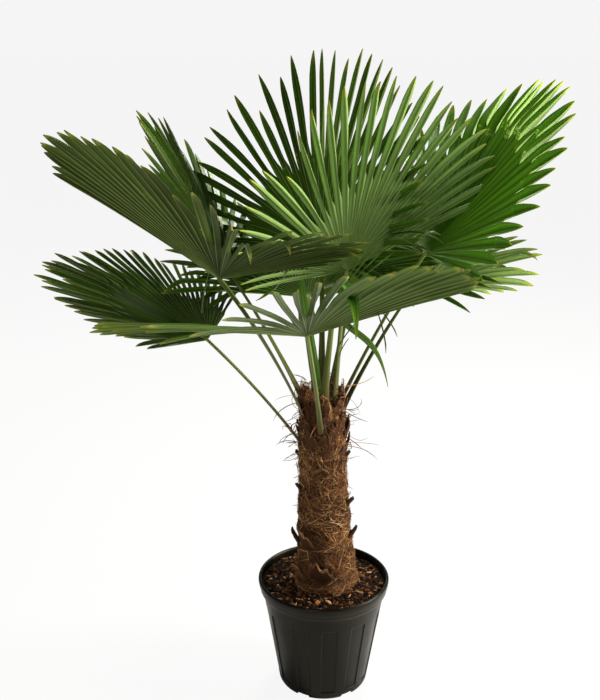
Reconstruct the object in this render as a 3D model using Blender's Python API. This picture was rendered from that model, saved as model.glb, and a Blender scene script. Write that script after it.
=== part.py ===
"""Potted windmill palm: a fibrous trunk with a crown of fan-shaped fronds, in a nursery pot.

Units are metres and +Z is up.  The origin is the centre of the flat underside of the pot.
Azimuths are degrees from +X towards +Y, elevations are degrees above level.
"""
import math

import bmesh
import bpy
import numpy as np
from mathutils import Vector
from mathutils.bvhtree import BVHTree

# ---------------------------------------------------------------- driving dimensions
GAP = 0.0003                 # clearance between neighbouring pieces
SEAT = 0.0005                # clearance where a stalk ends in its blade

POT_HEIGHT = 0.310
POT_RIM_RADIUS = 0.175
POT_RIM_BAND = 0.036         # height of the rolled band round the mouth
POT_SHOULDER_RADIUS = 0.163  # wall just under the band
POT_FOOT_RADIUS = 0.121
POT_WALL = 0.003
POT_FLOOR = 0.012
POT_SEGMENTS = 48
PANEL_COUNT = 12
PANEL_WIDTH = 0.043
PANEL_DEPTH = 0.0016
PANEL_BOTTOM, PANEL_TOP = 0.022, 0.232
NOTCH_COUNT = 6              # gaps between the feet of the bottom edge
NOTCH_WIDTH = 0.034
NOTCH_HEIGHT = 0.009

SOIL_LEVEL = 0.295

# trunk: height above the pot's underside, radius
TRUNK_PROFILE = ((0.300, 0.088), (0.335, 0.080), (0.420, 0.074), (0.500, 0.070), (0.590, 0.064),
                 (0.660, 0.059), (0.730, 0.056), (0.780, 0.053), (0.808, 0.043), (0.820, 0.024))
TRUNK_SIDES = 20
TRUNK_LEAN = -0.030          # sideways drift of the axis per metre of height
TRUNK_FOOT_X = 0.006
RING_SWELL = 0.0022          # old leaf rings stand out by this much

PETIOLE_WIDTH = 0.014
PETIOLE_DEPTH = 0.009
PETIOLE_SIDES = 6
PETIOLE_STEPS = 6
SHEATH_WIDTH = 0.026         # width where the stalk leaves the trunk
HASTULA = 0.010              # how far the stalk runs on into its blade

BLADE_THICKNESS = 0.0054
LEAFLETS = 28
PLEAT = 0.15                 # ridge height over the local width
SPLIT_MIDDLE, SPLIT_EDGE = 0.50, 0.28
SHOULDER = 0.88              # where a leaflet begins to narrow to its tip
SAFE = 0.0040                # extra half thickness kept free round a blade

# name: hub, azimuth, elevation and roll of the axis, fold left/right, spread left/right,
#       reach, shortening left/right, sag, then height and azimuth where the stalk leaves the trunk
FRONDS = {
    "front_low": ((-0.047, -0.273, 1.073), -122, 19, 20, 10, 14, 111, 98,
                  0.50, 0.23, 0.20, 0.05, 0.720, -92),
    "upper_left": ((-0.234, -0.335, 1.221), -79, 26, -18, 20, 23, 64, 104,
                   0.50, 0.50, 0.10, 0.04, 0.765, -162),
    "right_upper": ((0.256, 0.138, 1.162), 37, 50, -16, 8, 9, 106, 104,
                    0.57, 0.20, 0.26, 0.03, 0.785, 12),
    "right_low": ((0.213, 0.125, 1.050), 28, 3, -16, 2, 28, 105, 110,
                  0.40, 0.20, 0.23, 0.12, 0.745, 30),
    "centre": ((0.047, -0.050, 1.165), -70, 74, 15, -3, -5, 74, 84,
               0.51, 0.08, 0.40, 0.04, 0.795, -28),
    "lower_left": ((-0.308, 0.155, 0.925), 150, 21, 8, 6, 5, 93, 70,
                   0.51, 0.42, 0.20, 0.00, 0.682, 172),
    "top_back": ((-0.005, 0.200, 1.160), 94, 72, -46, 11, 15, 112, 118,
                 0.53, 0.18, 0.30, 0.00, 0.795, 88),
    "left_back": ((-0.256, 0.200, 1.110), 120, 45, 43, 9, 2, 115, 115,
                  0.52, 0.40, 0.21, 0.05, 0.780, 146),
    "back_right": ((0.090, 0.330, 1.070), 68, 25, 0, 8, 8, 112, 112,
                   0.48, 0.20, 0.20, 0.05, 0.770, 66),
    "back_left": ((-0.040, 0.340, 0.990), 105, 28, 0, 8, 8, 112, 112,
                  0.48, 0.20, 0.20, 0.06, 0.740, 108),
}

# half-open young leaf: same entries, with few leaflets, and one more that arches over and hangs
YOUNG = ((0.018, -0.120, 1.112), -11, 52, -60, 0, 0, 15, 15, 0.20, 0.10, 0.10, 0.02, 0.795, -84)
YOUNG_LEAFLETS = 4
ARCHED_PATH = ((0.018, -0.112, 1.088), (0.050, -0.170, 1.030), (0.115, -0.165, 1.060),
               (0.146, -0.150, 0.906))
ARCHED_WIDTH = 0.016

# unopened leaf that stands in the middle of the crown: centre line and widths up it
SPEAR_PATH = ((-0.014, -0.006, 0.795), (-0.030, -0.024, 0.920), (-0.050, -0.042, 1.060),
              (-0.066, -0.056, 1.180))
SPEAR_WIDTHS = (0.020, 0.024, 0.019, 0.007)


def clear_scene():
    for thing in list(bpy.data.objects):
        bpy.data.objects.remove(thing)


def material(name, colour, roughness, metallic=0.0):
    made = bpy.data.materials.new(name)
    made.use_nodes = True
    shader = made.node_tree.nodes["Principled BSDF"]
    shader.inputs["Base Color"].default_value = (*colour, 1.0)
    shader.inputs["Roughness"].default_value = roughness
    shader.inputs["Metallic"].default_value = metallic
    return made


def add_object(name, verts, faces, mat):
    mesh = bpy.data.meshes.new(name)
    mesh.from_pydata([tuple(map(float, v)) for v in verts], [], [tuple(map(int, f)) for f in faces])
    work = bmesh.new()
    work.from_mesh(mesh)
    bmesh.ops.recalc_face_normals(work, faces=work.faces)
    work.to_mesh(mesh)
    work.free()
    mesh.materials.append(mat)
    made = bpy.data.objects.new(name, mesh)
    bpy.context.scene.collection.objects.link(made)
    return made


def as_cutter(thing):
    thing.hide_render = True
    thing.display_type = "WIRE"
    return thing


def cut(target, cutter):
    knife = target.modifiers.new("cut_" + cutter.name, "BOOLEAN")
    knife.operation = "DIFFERENCE"
    knife.solver = "EXACT"
    knife.object = cutter


# ---------------------------------------------------------------- lofted and turned shapes
def turned(profile, sides):
    """Closed solid of revolution; a profile point with radius 0 becomes a pole."""
    verts, rows, faces = [], [], []
    for radius, height in profile:
        if radius <= 0.0:
            rows.append([len(verts)])
            verts.append((0.0, 0.0, height))
            continue
        rows.append(list(range(len(verts), len(verts) + sides)))
        for k in range(sides):
            a = math.tau * k / sides
            verts.append((radius * math.cos(a), radius * math.sin(a), height))
    for low, high in zip(rows, rows[1:]):
        for k in range(sides):
            j = (k + 1) % sides
            if len(low) == 1:
                faces.append((low[0], high[j], high[k]))
            elif len(high) == 1:
                faces.append((low[k], low[j], high[0]))
            else:
                faces.append((low[k], low[j], high[j], high[k]))
    return verts, faces


def loft(rings):
    """Closed skin over equal rings of points, with flat ends."""
    sides = len(rings[0])
    verts = [p for ring in rings for p in ring]
    faces = [tuple(range(sides))[::-1]]
    for r in range(len(rings) - 1):
        for k in range(sides):
            j = (k + 1) % sides
            a, b, c, d = r * sides + k, r * sides + j, (r + 1) * sides + j, (r + 1) * sides + k
            faces += [(a, b, c), (a, c, d)]
    last = (len(rings) - 1) * sides
    faces.append(tuple(range(last, last + sides)))
    return verts, faces


# ---------------------------------------------------------------- pot and soil
def pot_radius(height):
    """Outer wall radius, straight taper from the foot to the shoulder."""
    share = (height - 0.012) / (POT_HEIGHT - POT_RIM_BAND - 0.012)
    return POT_FOOT_RADIUS + share * (POT_SHOULDER_RADIUS - POT_FOOT_RADIUS)


def build_pot(mat):
    band = POT_HEIGHT - POT_RIM_BAND
    rim = POT_RIM_RADIUS
    outside = [(0.0, 0.0), (POT_FOOT_RADIUS - 0.008, 0.0), (POT_FOOT_RADIUS, 0.012),
               (pot_radius(band), band), (rim - 0.007, band + 0.001), (rim - 0.004, band + 0.006),
               (rim, POT_HEIGHT - 0.006), (rim - 0.001, POT_HEIGHT - 0.001), (rim - 0.004, POT_HEIGHT)]
    inside = [(rim - 0.008, POT_HEIGHT - 0.002), (pot_radius(band) - POT_WALL, band - 0.004),
              (POT_FOOT_RADIUS - POT_WALL, POT_FLOOR + 0.008),
              (POT_FOOT_RADIUS - POT_WALL - 0.006, POT_FLOOR), (0.0, POT_FLOOR)]
    pot = add_object("pot", *turned(outside + inside, POT_SEGMENTS), mat)
    for k in range(PANEL_COUNT):
        angle = math.radians(-85.0 + 360.0 * k / PANEL_COUNT)
        axis = np.array([math.cos(angle), math.sin(angle), 0.0])
        side = np.array([-axis[1], axis[0], 0.0])
        ring = []
        for height in (PANEL_BOTTOM, PANEL_TOP):
            half = 0.5 * PANEL_WIDTH * (0.86 if height == PANEL_BOTTOM else 1.0)
            sagitta = half * half / (2.0 * pot_radius(height))
            inner = pot_radius(height) - PANEL_DEPTH - sagitta
            corner = [axis * inner - side * half, axis * inner + side * half,
                      axis * (inner + 0.02) + side * half, axis * (inner + 0.02) - side * half]
            ring.append([tuple(c + np.array([0, 0, height])) for c in corner])
        cut(pot, as_cutter(add_object("panel_cutter_%02d" % k, *loft(ring), mat)))
    for k in range(NOTCH_COUNT):
        angle = math.radians(-118.0 + 360.0 * k / NOTCH_COUNT)
        axis = np.array([math.cos(angle), math.sin(angle), 0.0])
        side = np.array([-axis[1], axis[0], 0.0])
        ring = []
        for reach in (POT_FOOT_RADIUS - 0.011, POT_FOOT_RADIUS + 0.02):
            half = 0.5 * NOTCH_WIDTH
            ring.append([tuple(axis * reach + side * x + np.array([0, 0, z])) for x, z in
                         ((-half, -0.01), (half, -0.01), (half * 0.8, NOTCH_HEIGHT),
                          (-half * 0.8, NOTCH_HEIGHT))])
        cut(pot, as_cutter(add_object("notch_cutter_%d" % k, *loft(ring), mat)))
    return pot


def build_soil(mat):
    gap = GAP * 1.6
    low = [(0.0, POT_FLOOR + GAP), (POT_FOOT_RADIUS - POT_WALL - 0.006 - gap, POT_FLOOR + GAP),
           (POT_FOOT_RADIUS - POT_WALL - gap, POT_FLOOR + 0.008 + GAP)]
    knee = POT_HEIGHT - POT_RIM_BAND - 0.004
    wall = pot_radius(knee + 0.004) - POT_WALL
    flare = (POT_RIM_RADIUS - 0.008 - wall) / (POT_RIM_BAND + 0.002)
    edge = wall + flare * (SOIL_LEVEL - 0.005 - knee) - gap
    high = [(wall - gap, knee), (edge, SOIL_LEVEL - 0.005), (edge - 0.008, SOIL_LEVEL - 0.001),
            (0.6 * edge, SOIL_LEVEL), (0.0, SOIL_LEVEL)]
    return add_object("soil", *turned(low + high, POT_SEGMENTS), mat)


# ---------------------------------------------------------------- trunk
def trunk_axis(height):
    return np.array([TRUNK_FOOT_X + TRUNK_LEAN * (height - SOIL_LEVEL), 0.0, height])


def trunk_radius(height):
    return float(np.interp(height, [h for h, _ in TRUNK_PROFILE], [r for _, r in TRUNK_PROFILE]))


def trunk_rings(extra):
    """Rings up the trunk: swollen at each old leaf ring, a little lobed towards the foot."""
    floor = SOIL_LEVEL + GAP - (0.02 if extra else 0.0)
    heights = [floor] + [h for h, _ in TRUNK_PROFILE]
    extras = [0.5 * (a + b) for (a, _), (b, _) in zip(TRUNK_PROFILE[1:6], TRUNK_PROFILE[2:7])]
    heights = sorted(heights + extras)
    rings = []
    for index, height in enumerate(heights):
        radius = trunk_radius(max(height, TRUNK_PROFILE[0][0])) + extra
        swell = RING_SWELL * (1 if index % 2 else -1) if 0.34 < height < 0.72 else 0.0
        lobe = 0.0035 * max(0.0, (0.46 - height) / 0.16)
        centre = trunk_axis(height)
        ring = []
        for k in range(TRUNK_SIDES):
            a = math.tau * k / TRUNK_SIDES
            r = radius + swell + lobe * math.cos(5 * a + 0.6)
            ring.append(tuple(centre + np.array([r * math.cos(a), r * math.sin(a), 0.0])))
        rings.append(ring)
    if extra:
        top = rings[-1]
        rings[-1] = [(x, y, z + extra) for x, y, z in top]
    return rings


# old leaf stubs left on the trunk: azimuth, height, width, length, stand-off
STUBS = {
    "stub_left_high": (-168, 0.655, 0.022, 0.026, 0.010),
    "stub_left_mid": (-165, 0.565, 0.022, 0.028, 0.008),
    "stub_left_low": (-168, 0.408, 0.034, 0.048, 0.012),
    "stub_right_high": (-10, 0.655, 0.022, 0.026, 0.010),
    "stub_right_mid": (-20, 0.525, 0.026, 0.030, 0.010),
    "stub_right_low": (-15, 0.431, 0.028, 0.036, 0.012),
    "boot_front": (-99, 0.342, 0.070, 0.085, 0.024),
    "boot_front_high": (-130, 0.418, 0.044, 0.058, 0.018),
    "boot_front_left": (-143, 0.318, 0.026, 0.058, 0.018),
    "stub_back_high": (75, 0.640, 0.022, 0.028, 0.010),
    "stub_back_mid": (120, 0.520, 0.026, 0.030, 0.010),
    "boot_back": (60, 0.400, 0.044, 0.060, 0.012),
}


def build_stub(name, spec, cutter, mat):
    """Cut leaf base: a short tapering tongue that leans out from the trunk and ends square."""
    azimuth, height, width, length, stand = spec
    a = math.radians(azimuth)
    out, side, up = np.array([math.cos(a), math.sin(a), 0]), np.array([-math.sin(a), math.cos(a), 0]), \
        np.array([0, 0, 1.0])
    foot = trunk_axis(height) + out * (trunk_radius(height) - 0.008)
    rings = []
    for share, grow, thick in ((0.0, 1.0, 1.0), (0.5, 0.92, 0.85), (1.0, 0.55, 0.5)):
        centre = foot + out * (0.008 + stand) * share + up * length * share * 0.9
        half, deep = 0.5 * width * grow, 0.011 * thick
        lean = np.array([0, 0, 1.0]) * 0.35 - out * 0.94
        lean /= np.linalg.norm(lean)
        ring = [centre + side * half * x + lean * deep * y for x, y in
                ((-1, 0.1), (-0.55, -0.9), (0.55, -0.9), (1, 0.1), (0.5, 0.9), (-0.5, 0.9))]
        rings.append([tuple(p) for p in ring])
    stub = add_object(name, *loft(rings), mat)
    cut(stub, cutter)
    return stub


# ---------------------------------------------------------------- fronds
def unit(v):
    return v / np.linalg.norm(v)


def blade_axes(azimuth, elevation, roll):
    a, e, r = math.radians(azimuth), math.radians(elevation), math.radians(roll)
    u = np.array([math.cos(e) * math.cos(a), math.cos(e) * math.sin(a), math.sin(e)])
    n = unit(np.array([0, 0, 1.0]) - u[2] * u)
    s = np.cross(n, u)
    return u, math.cos(r) * s + math.sin(r) * n, math.cos(r) * n - math.sin(r) * s


def blade_point(spec, f, t, lift=0.0):
    """Point of a fan: f runs from its right edge -1 to its left edge 1, t from hub 0 to tip 1."""
    hub, az, el, roll, fold_l, fold_r, spread_l, spread_r, reach, short_l, short_r, sag = spec[:12]
    u, s, n = blade_axes(az, el, roll)
    fold = math.radians(fold_l if f > 0 else fold_r)
    theta = math.radians(f * (spread_l if f > 0 else spread_r))
    across = math.copysign(1.0, theta) * math.cos(fold) * s + math.sin(fold) * n
    d = unit(math.cos(theta) * u + abs(math.sin(theta)) * across)
    length = reach * (1.0 - (short_l if f > 0 else short_r) * f * f)
    return np.array(hub) + length * t * d + lift * n - np.array([0, 0, 1.0]) * sag * length * t ** 2.5


def split_at(f):
    return SPLIT_MIDDLE + (SPLIT_EDGE - SPLIT_MIDDLE) * f * f


def leaflet_points(spec, i, count, cut_back):
    """Mid-surface points of one leaflet: two notches, ridge at the notch, shoulder row, tip."""
    f0, f1 = -1 + 2 * i / count, -1 + 2 * (i + 1) / count
    fm = 0.5 * (f0 + f1)
    t = split_at(fm)
    right, left = blade_point(spec, f0, split_at(f0)), blade_point(spec, f1, split_at(f1))
    width = np.linalg.norm(left - right)
    across = (left - right) / width
    ridge = blade_point(spec, fm, t, PLEAT * width)
    end = t + (1.0 - t) * cut_back
    mid_t = t + (end - t) * (SHOULDER - t) / (1.0 - t)
    middle = blade_point(spec, fm, mid_t)
    half = 0.43 * width
    return [right, ridge, left, middle - across * half,
            blade_point(spec, fm, mid_t, PLEAT * width * 0.8), middle + across * half,
            blade_point(spec, fm, end)]


def leaflet_prism(spec, i, count, cut_back):
    """Closed test solid round one leaflet, a little thicker than the blade."""
    _, _, n = blade_axes(*spec[1:4])
    mid = [np.array(spec[0])] + leaflet_points(spec, i, count, cut_back)
    half = 0.5 * BLADE_THICKNESS + SAFE
    verts = [p + n * half for p in mid] + [p - n * half for p in mid]
    top = [(0, 1, 2), (0, 2, 3), (1, 4, 5, 2), (2, 5, 6, 3), (4, 7, 5), (5, 7, 6)]
    rim = [(0, 1), (1, 4), (4, 7), (7, 6), (6, 3), (3, 0)]
    faces = top + [tuple(k + 8 for k in f[::-1]) for f in top] + [(a, b, b + 8, a + 8) for a, b in rim]
    return [Vector(v) for v in verts], faces


def choose_leaflets(spec, count, obstacles):
    """Length share of every leaflet; one that would touch a neighbour is cut back or left out."""
    shares = {}
    middle = count // 2
    for order in (range(middle, count), range(middle - 1, -1, -1)):
        for i in order:
            kept = None
            for share in (1.0, 0.8, 0.6, 0.4, 0.2):
                verts, faces = leaflet_prism(spec, i, count, share)
                tree = BVHTree.FromPolygons(verts, faces)
                if not any(tree.overlap(other) for other in obstacles):
                    kept = share
                    break
            if kept is None:
                break
            shares[i] = kept
    return shares


def fan_surface(spec, count, shares):
    """Pleated mid-surface of a fan: fused round the hub, notched between the leaflets."""
    first, last = min(shares), max(shares)
    verts, faces = [np.array(spec[0])], []
    notch = {}
    for i in range(first, last + 2):
        f = -1 + 2 * i / count
        notch[i] = len(verts)
        verts.append(blade_point(spec, f, split_at(f)))
    for i in range(first, last + 1):
        pts = leaflet_points(spec, i, count, shares[i])
        base = len(verts)
        verts += [pts[1]] + pts[3:]
        ridge, lo, mid, hi, tip = base, base + 1, base + 2, base + 3, base + 4
        a, b = notch[i], notch[i + 1]
        faces += [(0, a, ridge), (0, ridge, b), (a, lo, mid, ridge), (ridge, mid, hi, b),
                  (lo, tip, mid), (mid, tip, hi)]
    return verts, faces


def petiole_rings(spec, extra):
    """Rings of the stalk: it rises from the trunk, leans out and runs on a little into the blade."""
    hub, height, azimuth = np.array(spec[0]), spec[12], math.radians(spec[13])
    out = np.array([math.cos(azimuth), math.sin(azimuth), 0.0])
    start = trunk_axis(height) + out * (trunk_radius(height) - 0.012)
    rise = hub - start
    bend = start + np.array([rise[0] * 0.42, rise[1] * 0.42, rise[2] * 0.53])
    u, s, n = blade_axes(*spec[1:4])
    centres = []
    for k in range(PETIOLE_STEPS + 1):
        t = k / PETIOLE_STEPS
        centres.append((1 - t) ** 2 * start + 2 * t * (1 - t) * bend + t * t * hub)
    centres.append(hub + unit(u + unit(hub - bend)) * (HASTULA + extra))
    centres[0] = centres[0] - unit(bend - start) * extra
    rings = []
    total = len(centres)
    for k, centre in enumerate(centres):
        ahead = unit(centres[min(k + 1, total - 1)] - centres[max(k - 1, 0)])
        share = min(1.0, k / PETIOLE_STEPS)
        level = unit(np.cross(ahead, out))
        wide = level * (1 - share) + s * math.copysign(share, np.dot(s, level))
        wide = unit(wide - ahead * np.dot(wide, ahead))
        deep = np.cross(wide, ahead)
        broad = PETIOLE_WIDTH + (SHEATH_WIDTH - PETIOLE_WIDTH) * max(0.0, 1 - 2.5 * share)
        half_w, half_d = 0.5 * broad + extra, 0.5 * PETIOLE_DEPTH + extra
        if k == total - 1:
            half_w, half_d = half_w * 0.6, half_d * 0.7
        rings.append([tuple(centre + wide * half_w * math.cos(math.tau * j / PETIOLE_SIDES)
                            + deep * half_d * math.sin(math.tau * j / PETIOLE_SIDES))
                      for j in range(PETIOLE_SIDES)])
    return rings


def arched_rings(steps=7):
    """Ribbon along a cubic arc, narrowing to its hanging tip."""
    p = [np.array(c) for c in ARCHED_PATH]
    rings = []
    for k in range(steps + 1):
        t = k / steps
        q = 1.0 - t
        centre = q ** 3 * p[0] + 3 * q * q * t * p[1] + 3 * q * t * t * p[2] + t ** 3 * p[3]
        ahead = unit(q * q * (p[1] - p[0]) + 2 * q * t * (p[2] - p[1]) + t * t * (p[3] - p[2]))
        wide = unit(np.cross(ahead, np.array([0.35, 1.0, 0.0])))
        deep = np.cross(wide, ahead)
        half = 0.5 * ARCHED_WIDTH * min(1.0, 0.5 + 2.0 * t, 0.25 + 2.2 * q)
        rings.append([tuple(centre + wide * half * x + deep * 0.5 * BLADE_THICKNESS * y)
                      for x, y in ((-1, -1), (1, -1), (1, 1), (-1, 1))])
    return rings


def build_blade(name, spec, count, obstacles, leaf):
    """One fan, thickened, with a notch at its hub where the end of its stalk sits."""
    shares = choose_leaflets(spec, count, obstacles)
    blade = add_object("blade_" + name, *fan_surface(spec, count, shares), leaf)
    skin = blade.modifiers.new("thickness", "SOLIDIFY")
    skin.thickness = BLADE_THICKNESS
    skin.offset = 0.0
    skin.use_rim = True
    return blade


def solid_tree(thing):
    bpy.context.view_layer.update()
    graph = bpy.context.evaluated_depsgraph_get()
    mesh = thing.evaluated_get(graph).to_mesh()
    corners = [v.co.copy() for v in mesh.vertices]
    return BVHTree.FromPolygons(corners, [tuple(p.vertices) for p in mesh.polygons])


def build():
    clear_scene()
    plastic = material("pot_plastic", (0.018, 0.019, 0.018), 0.38)
    bark = material("bark_mulch", (0.11, 0.055, 0.028), 0.9)
    fibre = material("trunk_fibre", (0.15, 0.085, 0.045), 0.95)
    stub_wood = material("leaf_base", (0.11, 0.055, 0.030), 0.8)
    stalk = material("petiole_green", (0.10, 0.17, 0.045), 0.45)
    leaf = material("leaf_green", (0.035, 0.11, 0.022), 0.42)
    tender = material("young_leaf_green", (0.06, 0.22, 0.03), 0.40)

    build_pot(plastic)
    build_soil(bark)
    trunk = add_object("trunk", *loft(trunk_rings(0.0)), fibre)
    trunk_cutter = as_cutter(add_object("trunk_cutter", *loft(trunk_rings(GAP)), fibre))
    for name, spec in STUBS.items():
        build_stub(name, spec, trunk_cutter, stub_wood)

    rings = []
    for centre, width in zip(SPEAR_PATH, SPEAR_WIDTHS):
        rings.append([tuple(np.array(centre) + 0.5 * width * np.array(
            [math.cos(math.tau * k / 6), 0.55 * math.sin(math.tau * k / 6), 0.0])) for k in range(6)])
    spear = add_object("spear", *loft(rings), tender)
    cut(spear, trunk_cutter)

    stalks = dict(FRONDS, young=YOUNG)
    stalk_trees = {}
    for name, spec in stalks.items():
        petiole = add_object("petiole_" + name, *loft(petiole_rings(spec, 0.0)), stalk)
        cut(petiole, trunk_cutter)
        stalk_trees[name] = solid_tree(petiole)

    built = [solid_tree(spear)]
    for name, spec in stalks.items():
        young = name == "young"
        others = [tree for other, tree in stalk_trees.items() if other != name]
        blade = build_blade(name, spec, YOUNG_LEAFLETS if young else LEAFLETS, others + built,
                            tender if young else leaf)
        built.append(solid_tree(blade))
        rings = petiole_rings(spec, SEAT)
        seat = as_cutter(add_object("seat_cutter_" + name, *loft(rings), stalk))
        cut(blade, seat)
        if young:
            cut(add_object("arched_leaflet", *loft(arched_rings()), tender), seat)


build()
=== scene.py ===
"""Potted windmill palm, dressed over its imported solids.

Metres, +Z up, origin at the centre of the pot's flat underside; azimuths run from +X towards +Y
in degrees. The sections follow the plant as it is put together: pot, bark, trunk, leaf bases,
coir, stalks, fans, young leaves, and last the floor, light and camera.
"""
import itertools
import math

import bmesh
import bpy
import mathutils
import numpy as np
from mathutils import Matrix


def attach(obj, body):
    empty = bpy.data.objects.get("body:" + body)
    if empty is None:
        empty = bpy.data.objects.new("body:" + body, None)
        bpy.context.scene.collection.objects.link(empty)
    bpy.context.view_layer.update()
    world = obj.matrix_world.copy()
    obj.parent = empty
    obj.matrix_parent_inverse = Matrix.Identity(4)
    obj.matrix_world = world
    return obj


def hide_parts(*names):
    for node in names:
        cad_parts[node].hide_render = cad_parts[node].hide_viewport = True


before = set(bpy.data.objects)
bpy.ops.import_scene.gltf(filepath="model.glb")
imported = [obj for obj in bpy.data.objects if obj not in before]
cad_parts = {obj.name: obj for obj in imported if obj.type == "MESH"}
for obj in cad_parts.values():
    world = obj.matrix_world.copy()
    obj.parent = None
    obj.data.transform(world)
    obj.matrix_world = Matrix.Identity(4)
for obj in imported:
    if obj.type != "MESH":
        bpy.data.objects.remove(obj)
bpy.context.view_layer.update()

# ---- pot -------------------------------------------------------------------------------------
# Moulded nursery pot of satin black plastic: a rolled band round the mouth, a plain collar,
# twelve shallow recessed panels down the wall and a foot with six drain notches.
POT_HEIGHT, RIM_RADIUS, RIM_BAND = 0.310, 0.175, 0.036
SHOULDER_RADIUS, FOOT_RADIUS, POT_WALL, POT_FLOOR = 0.163, 0.121, 0.003, 0.012
PANELS, PANEL_WIDTH, PANEL_DEPTH, PANEL_LOW, PANEL_HIGH = 12, 0.043, 0.0028, 0.022, 0.232
NOTCHES, NOTCH_WIDTH, NOTCH_HEIGHT = 6, 0.036, 0.0112
FIRST_PANEL, FIRST_NOTCH, FLAT_FOOT = -85.0, -118.0, 0.1098


def ease(x):
    """0 below 0, 1 above 1, and 3x^2 - 2x^3 between."""
    x = np.clip(x, 0.0, 1.0)
    return x * x * (3.0 - 2.0 * x)


def facing_out(points, faces):
    """Faces, all turned over if the signed volume, a sum of a.(b x c)/6 over triangles, is negative."""
    volume = 0.0
    for k in range(1, faces.shape[1] - 1):
        a, b, c = points[faces[:, 0]], points[faces[:, k]], points[faces[:, k + 1]]
        volume += np.einsum("ij,ij->", a, np.cross(b, c))
    return faces if volume > 0 else faces[:, ::-1]


def make_piece(name, points, faces, material, marks=None, crease=35.0, weld=False, closed=True):
    """Mesh object at the origin, its faces turned outward where it is closed. Marks are named values or
    vectors for each point, and weld joins the points that fall together at a pole."""
    points = points.reshape(-1, 3)
    faces = facing_out(points, faces) if closed else faces
    starts = np.arange(0, faces.size, faces.shape[1], dtype=np.int32)
    mesh = bpy.data.meshes.new(name)
    mesh.vertices.add(len(points))
    mesh.vertices.foreach_set("co", np.asarray(points, np.float32).ravel())
    mesh.loops.add(faces.size)
    mesh.loops.foreach_set("vertex_index", faces.astype(np.int32).ravel())
    mesh.polygons.add(len(faces))
    mesh.polygons.foreach_set("loop_start", starts)
    mesh.update(calc_edges=True)
    for title, values in (marks or {}).items():
        kind, key = ("FLOAT", "value") if np.size(values) == len(points) else ("FLOAT_VECTOR", "vector")
        mark = mesh.attributes.new(title, kind, "POINT")
        mark.data.foreach_set(key, np.asarray(values, np.float32).ravel())
    if weld:
        work = bmesh.new()
        work.from_mesh(mesh)
        bmesh.ops.remove_doubles(work, verts=work.verts, dist=1e-6)
        work.to_mesh(mesh)
        work.free()
    mesh.polygons.foreach_set("use_smooth", np.ones(len(mesh.polygons), bool))
    mesh.set_sharp_from_angle(angle=math.radians(crease))
    mesh.materials.append(material)
    piece = bpy.data.objects.new(name, mesh)
    bpy.context.scene.collection.objects.link(piece)
    return piece


def grid_faces(rows, columns):
    """Quads over a grid of rows x columns points, joined round the columns."""
    r, c = columns * np.arange(rows - 1)[:, None], np.arange(columns)[None, :]
    n = (c + 1) % columns
    return np.stack([r + c, r + n, r + columns + n, r + columns + c], -1).reshape(-1, 4)


def around(radius, angle, height):
    """Points at a radius and an angle about Z, at a height."""
    return np.stack([radius * np.cos(angle), radius * np.sin(angle), height], -1)


def pot_wall(height):
    """Outer radius of the straight tapering wall at a height."""
    share = (height - POT_FLOOR) / (POT_HEIGHT - RIM_BAND - POT_FLOOR)
    return FOOT_RADIUS + share * (SHOULDER_RADIUS - FOOT_RADIUS)


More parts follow.
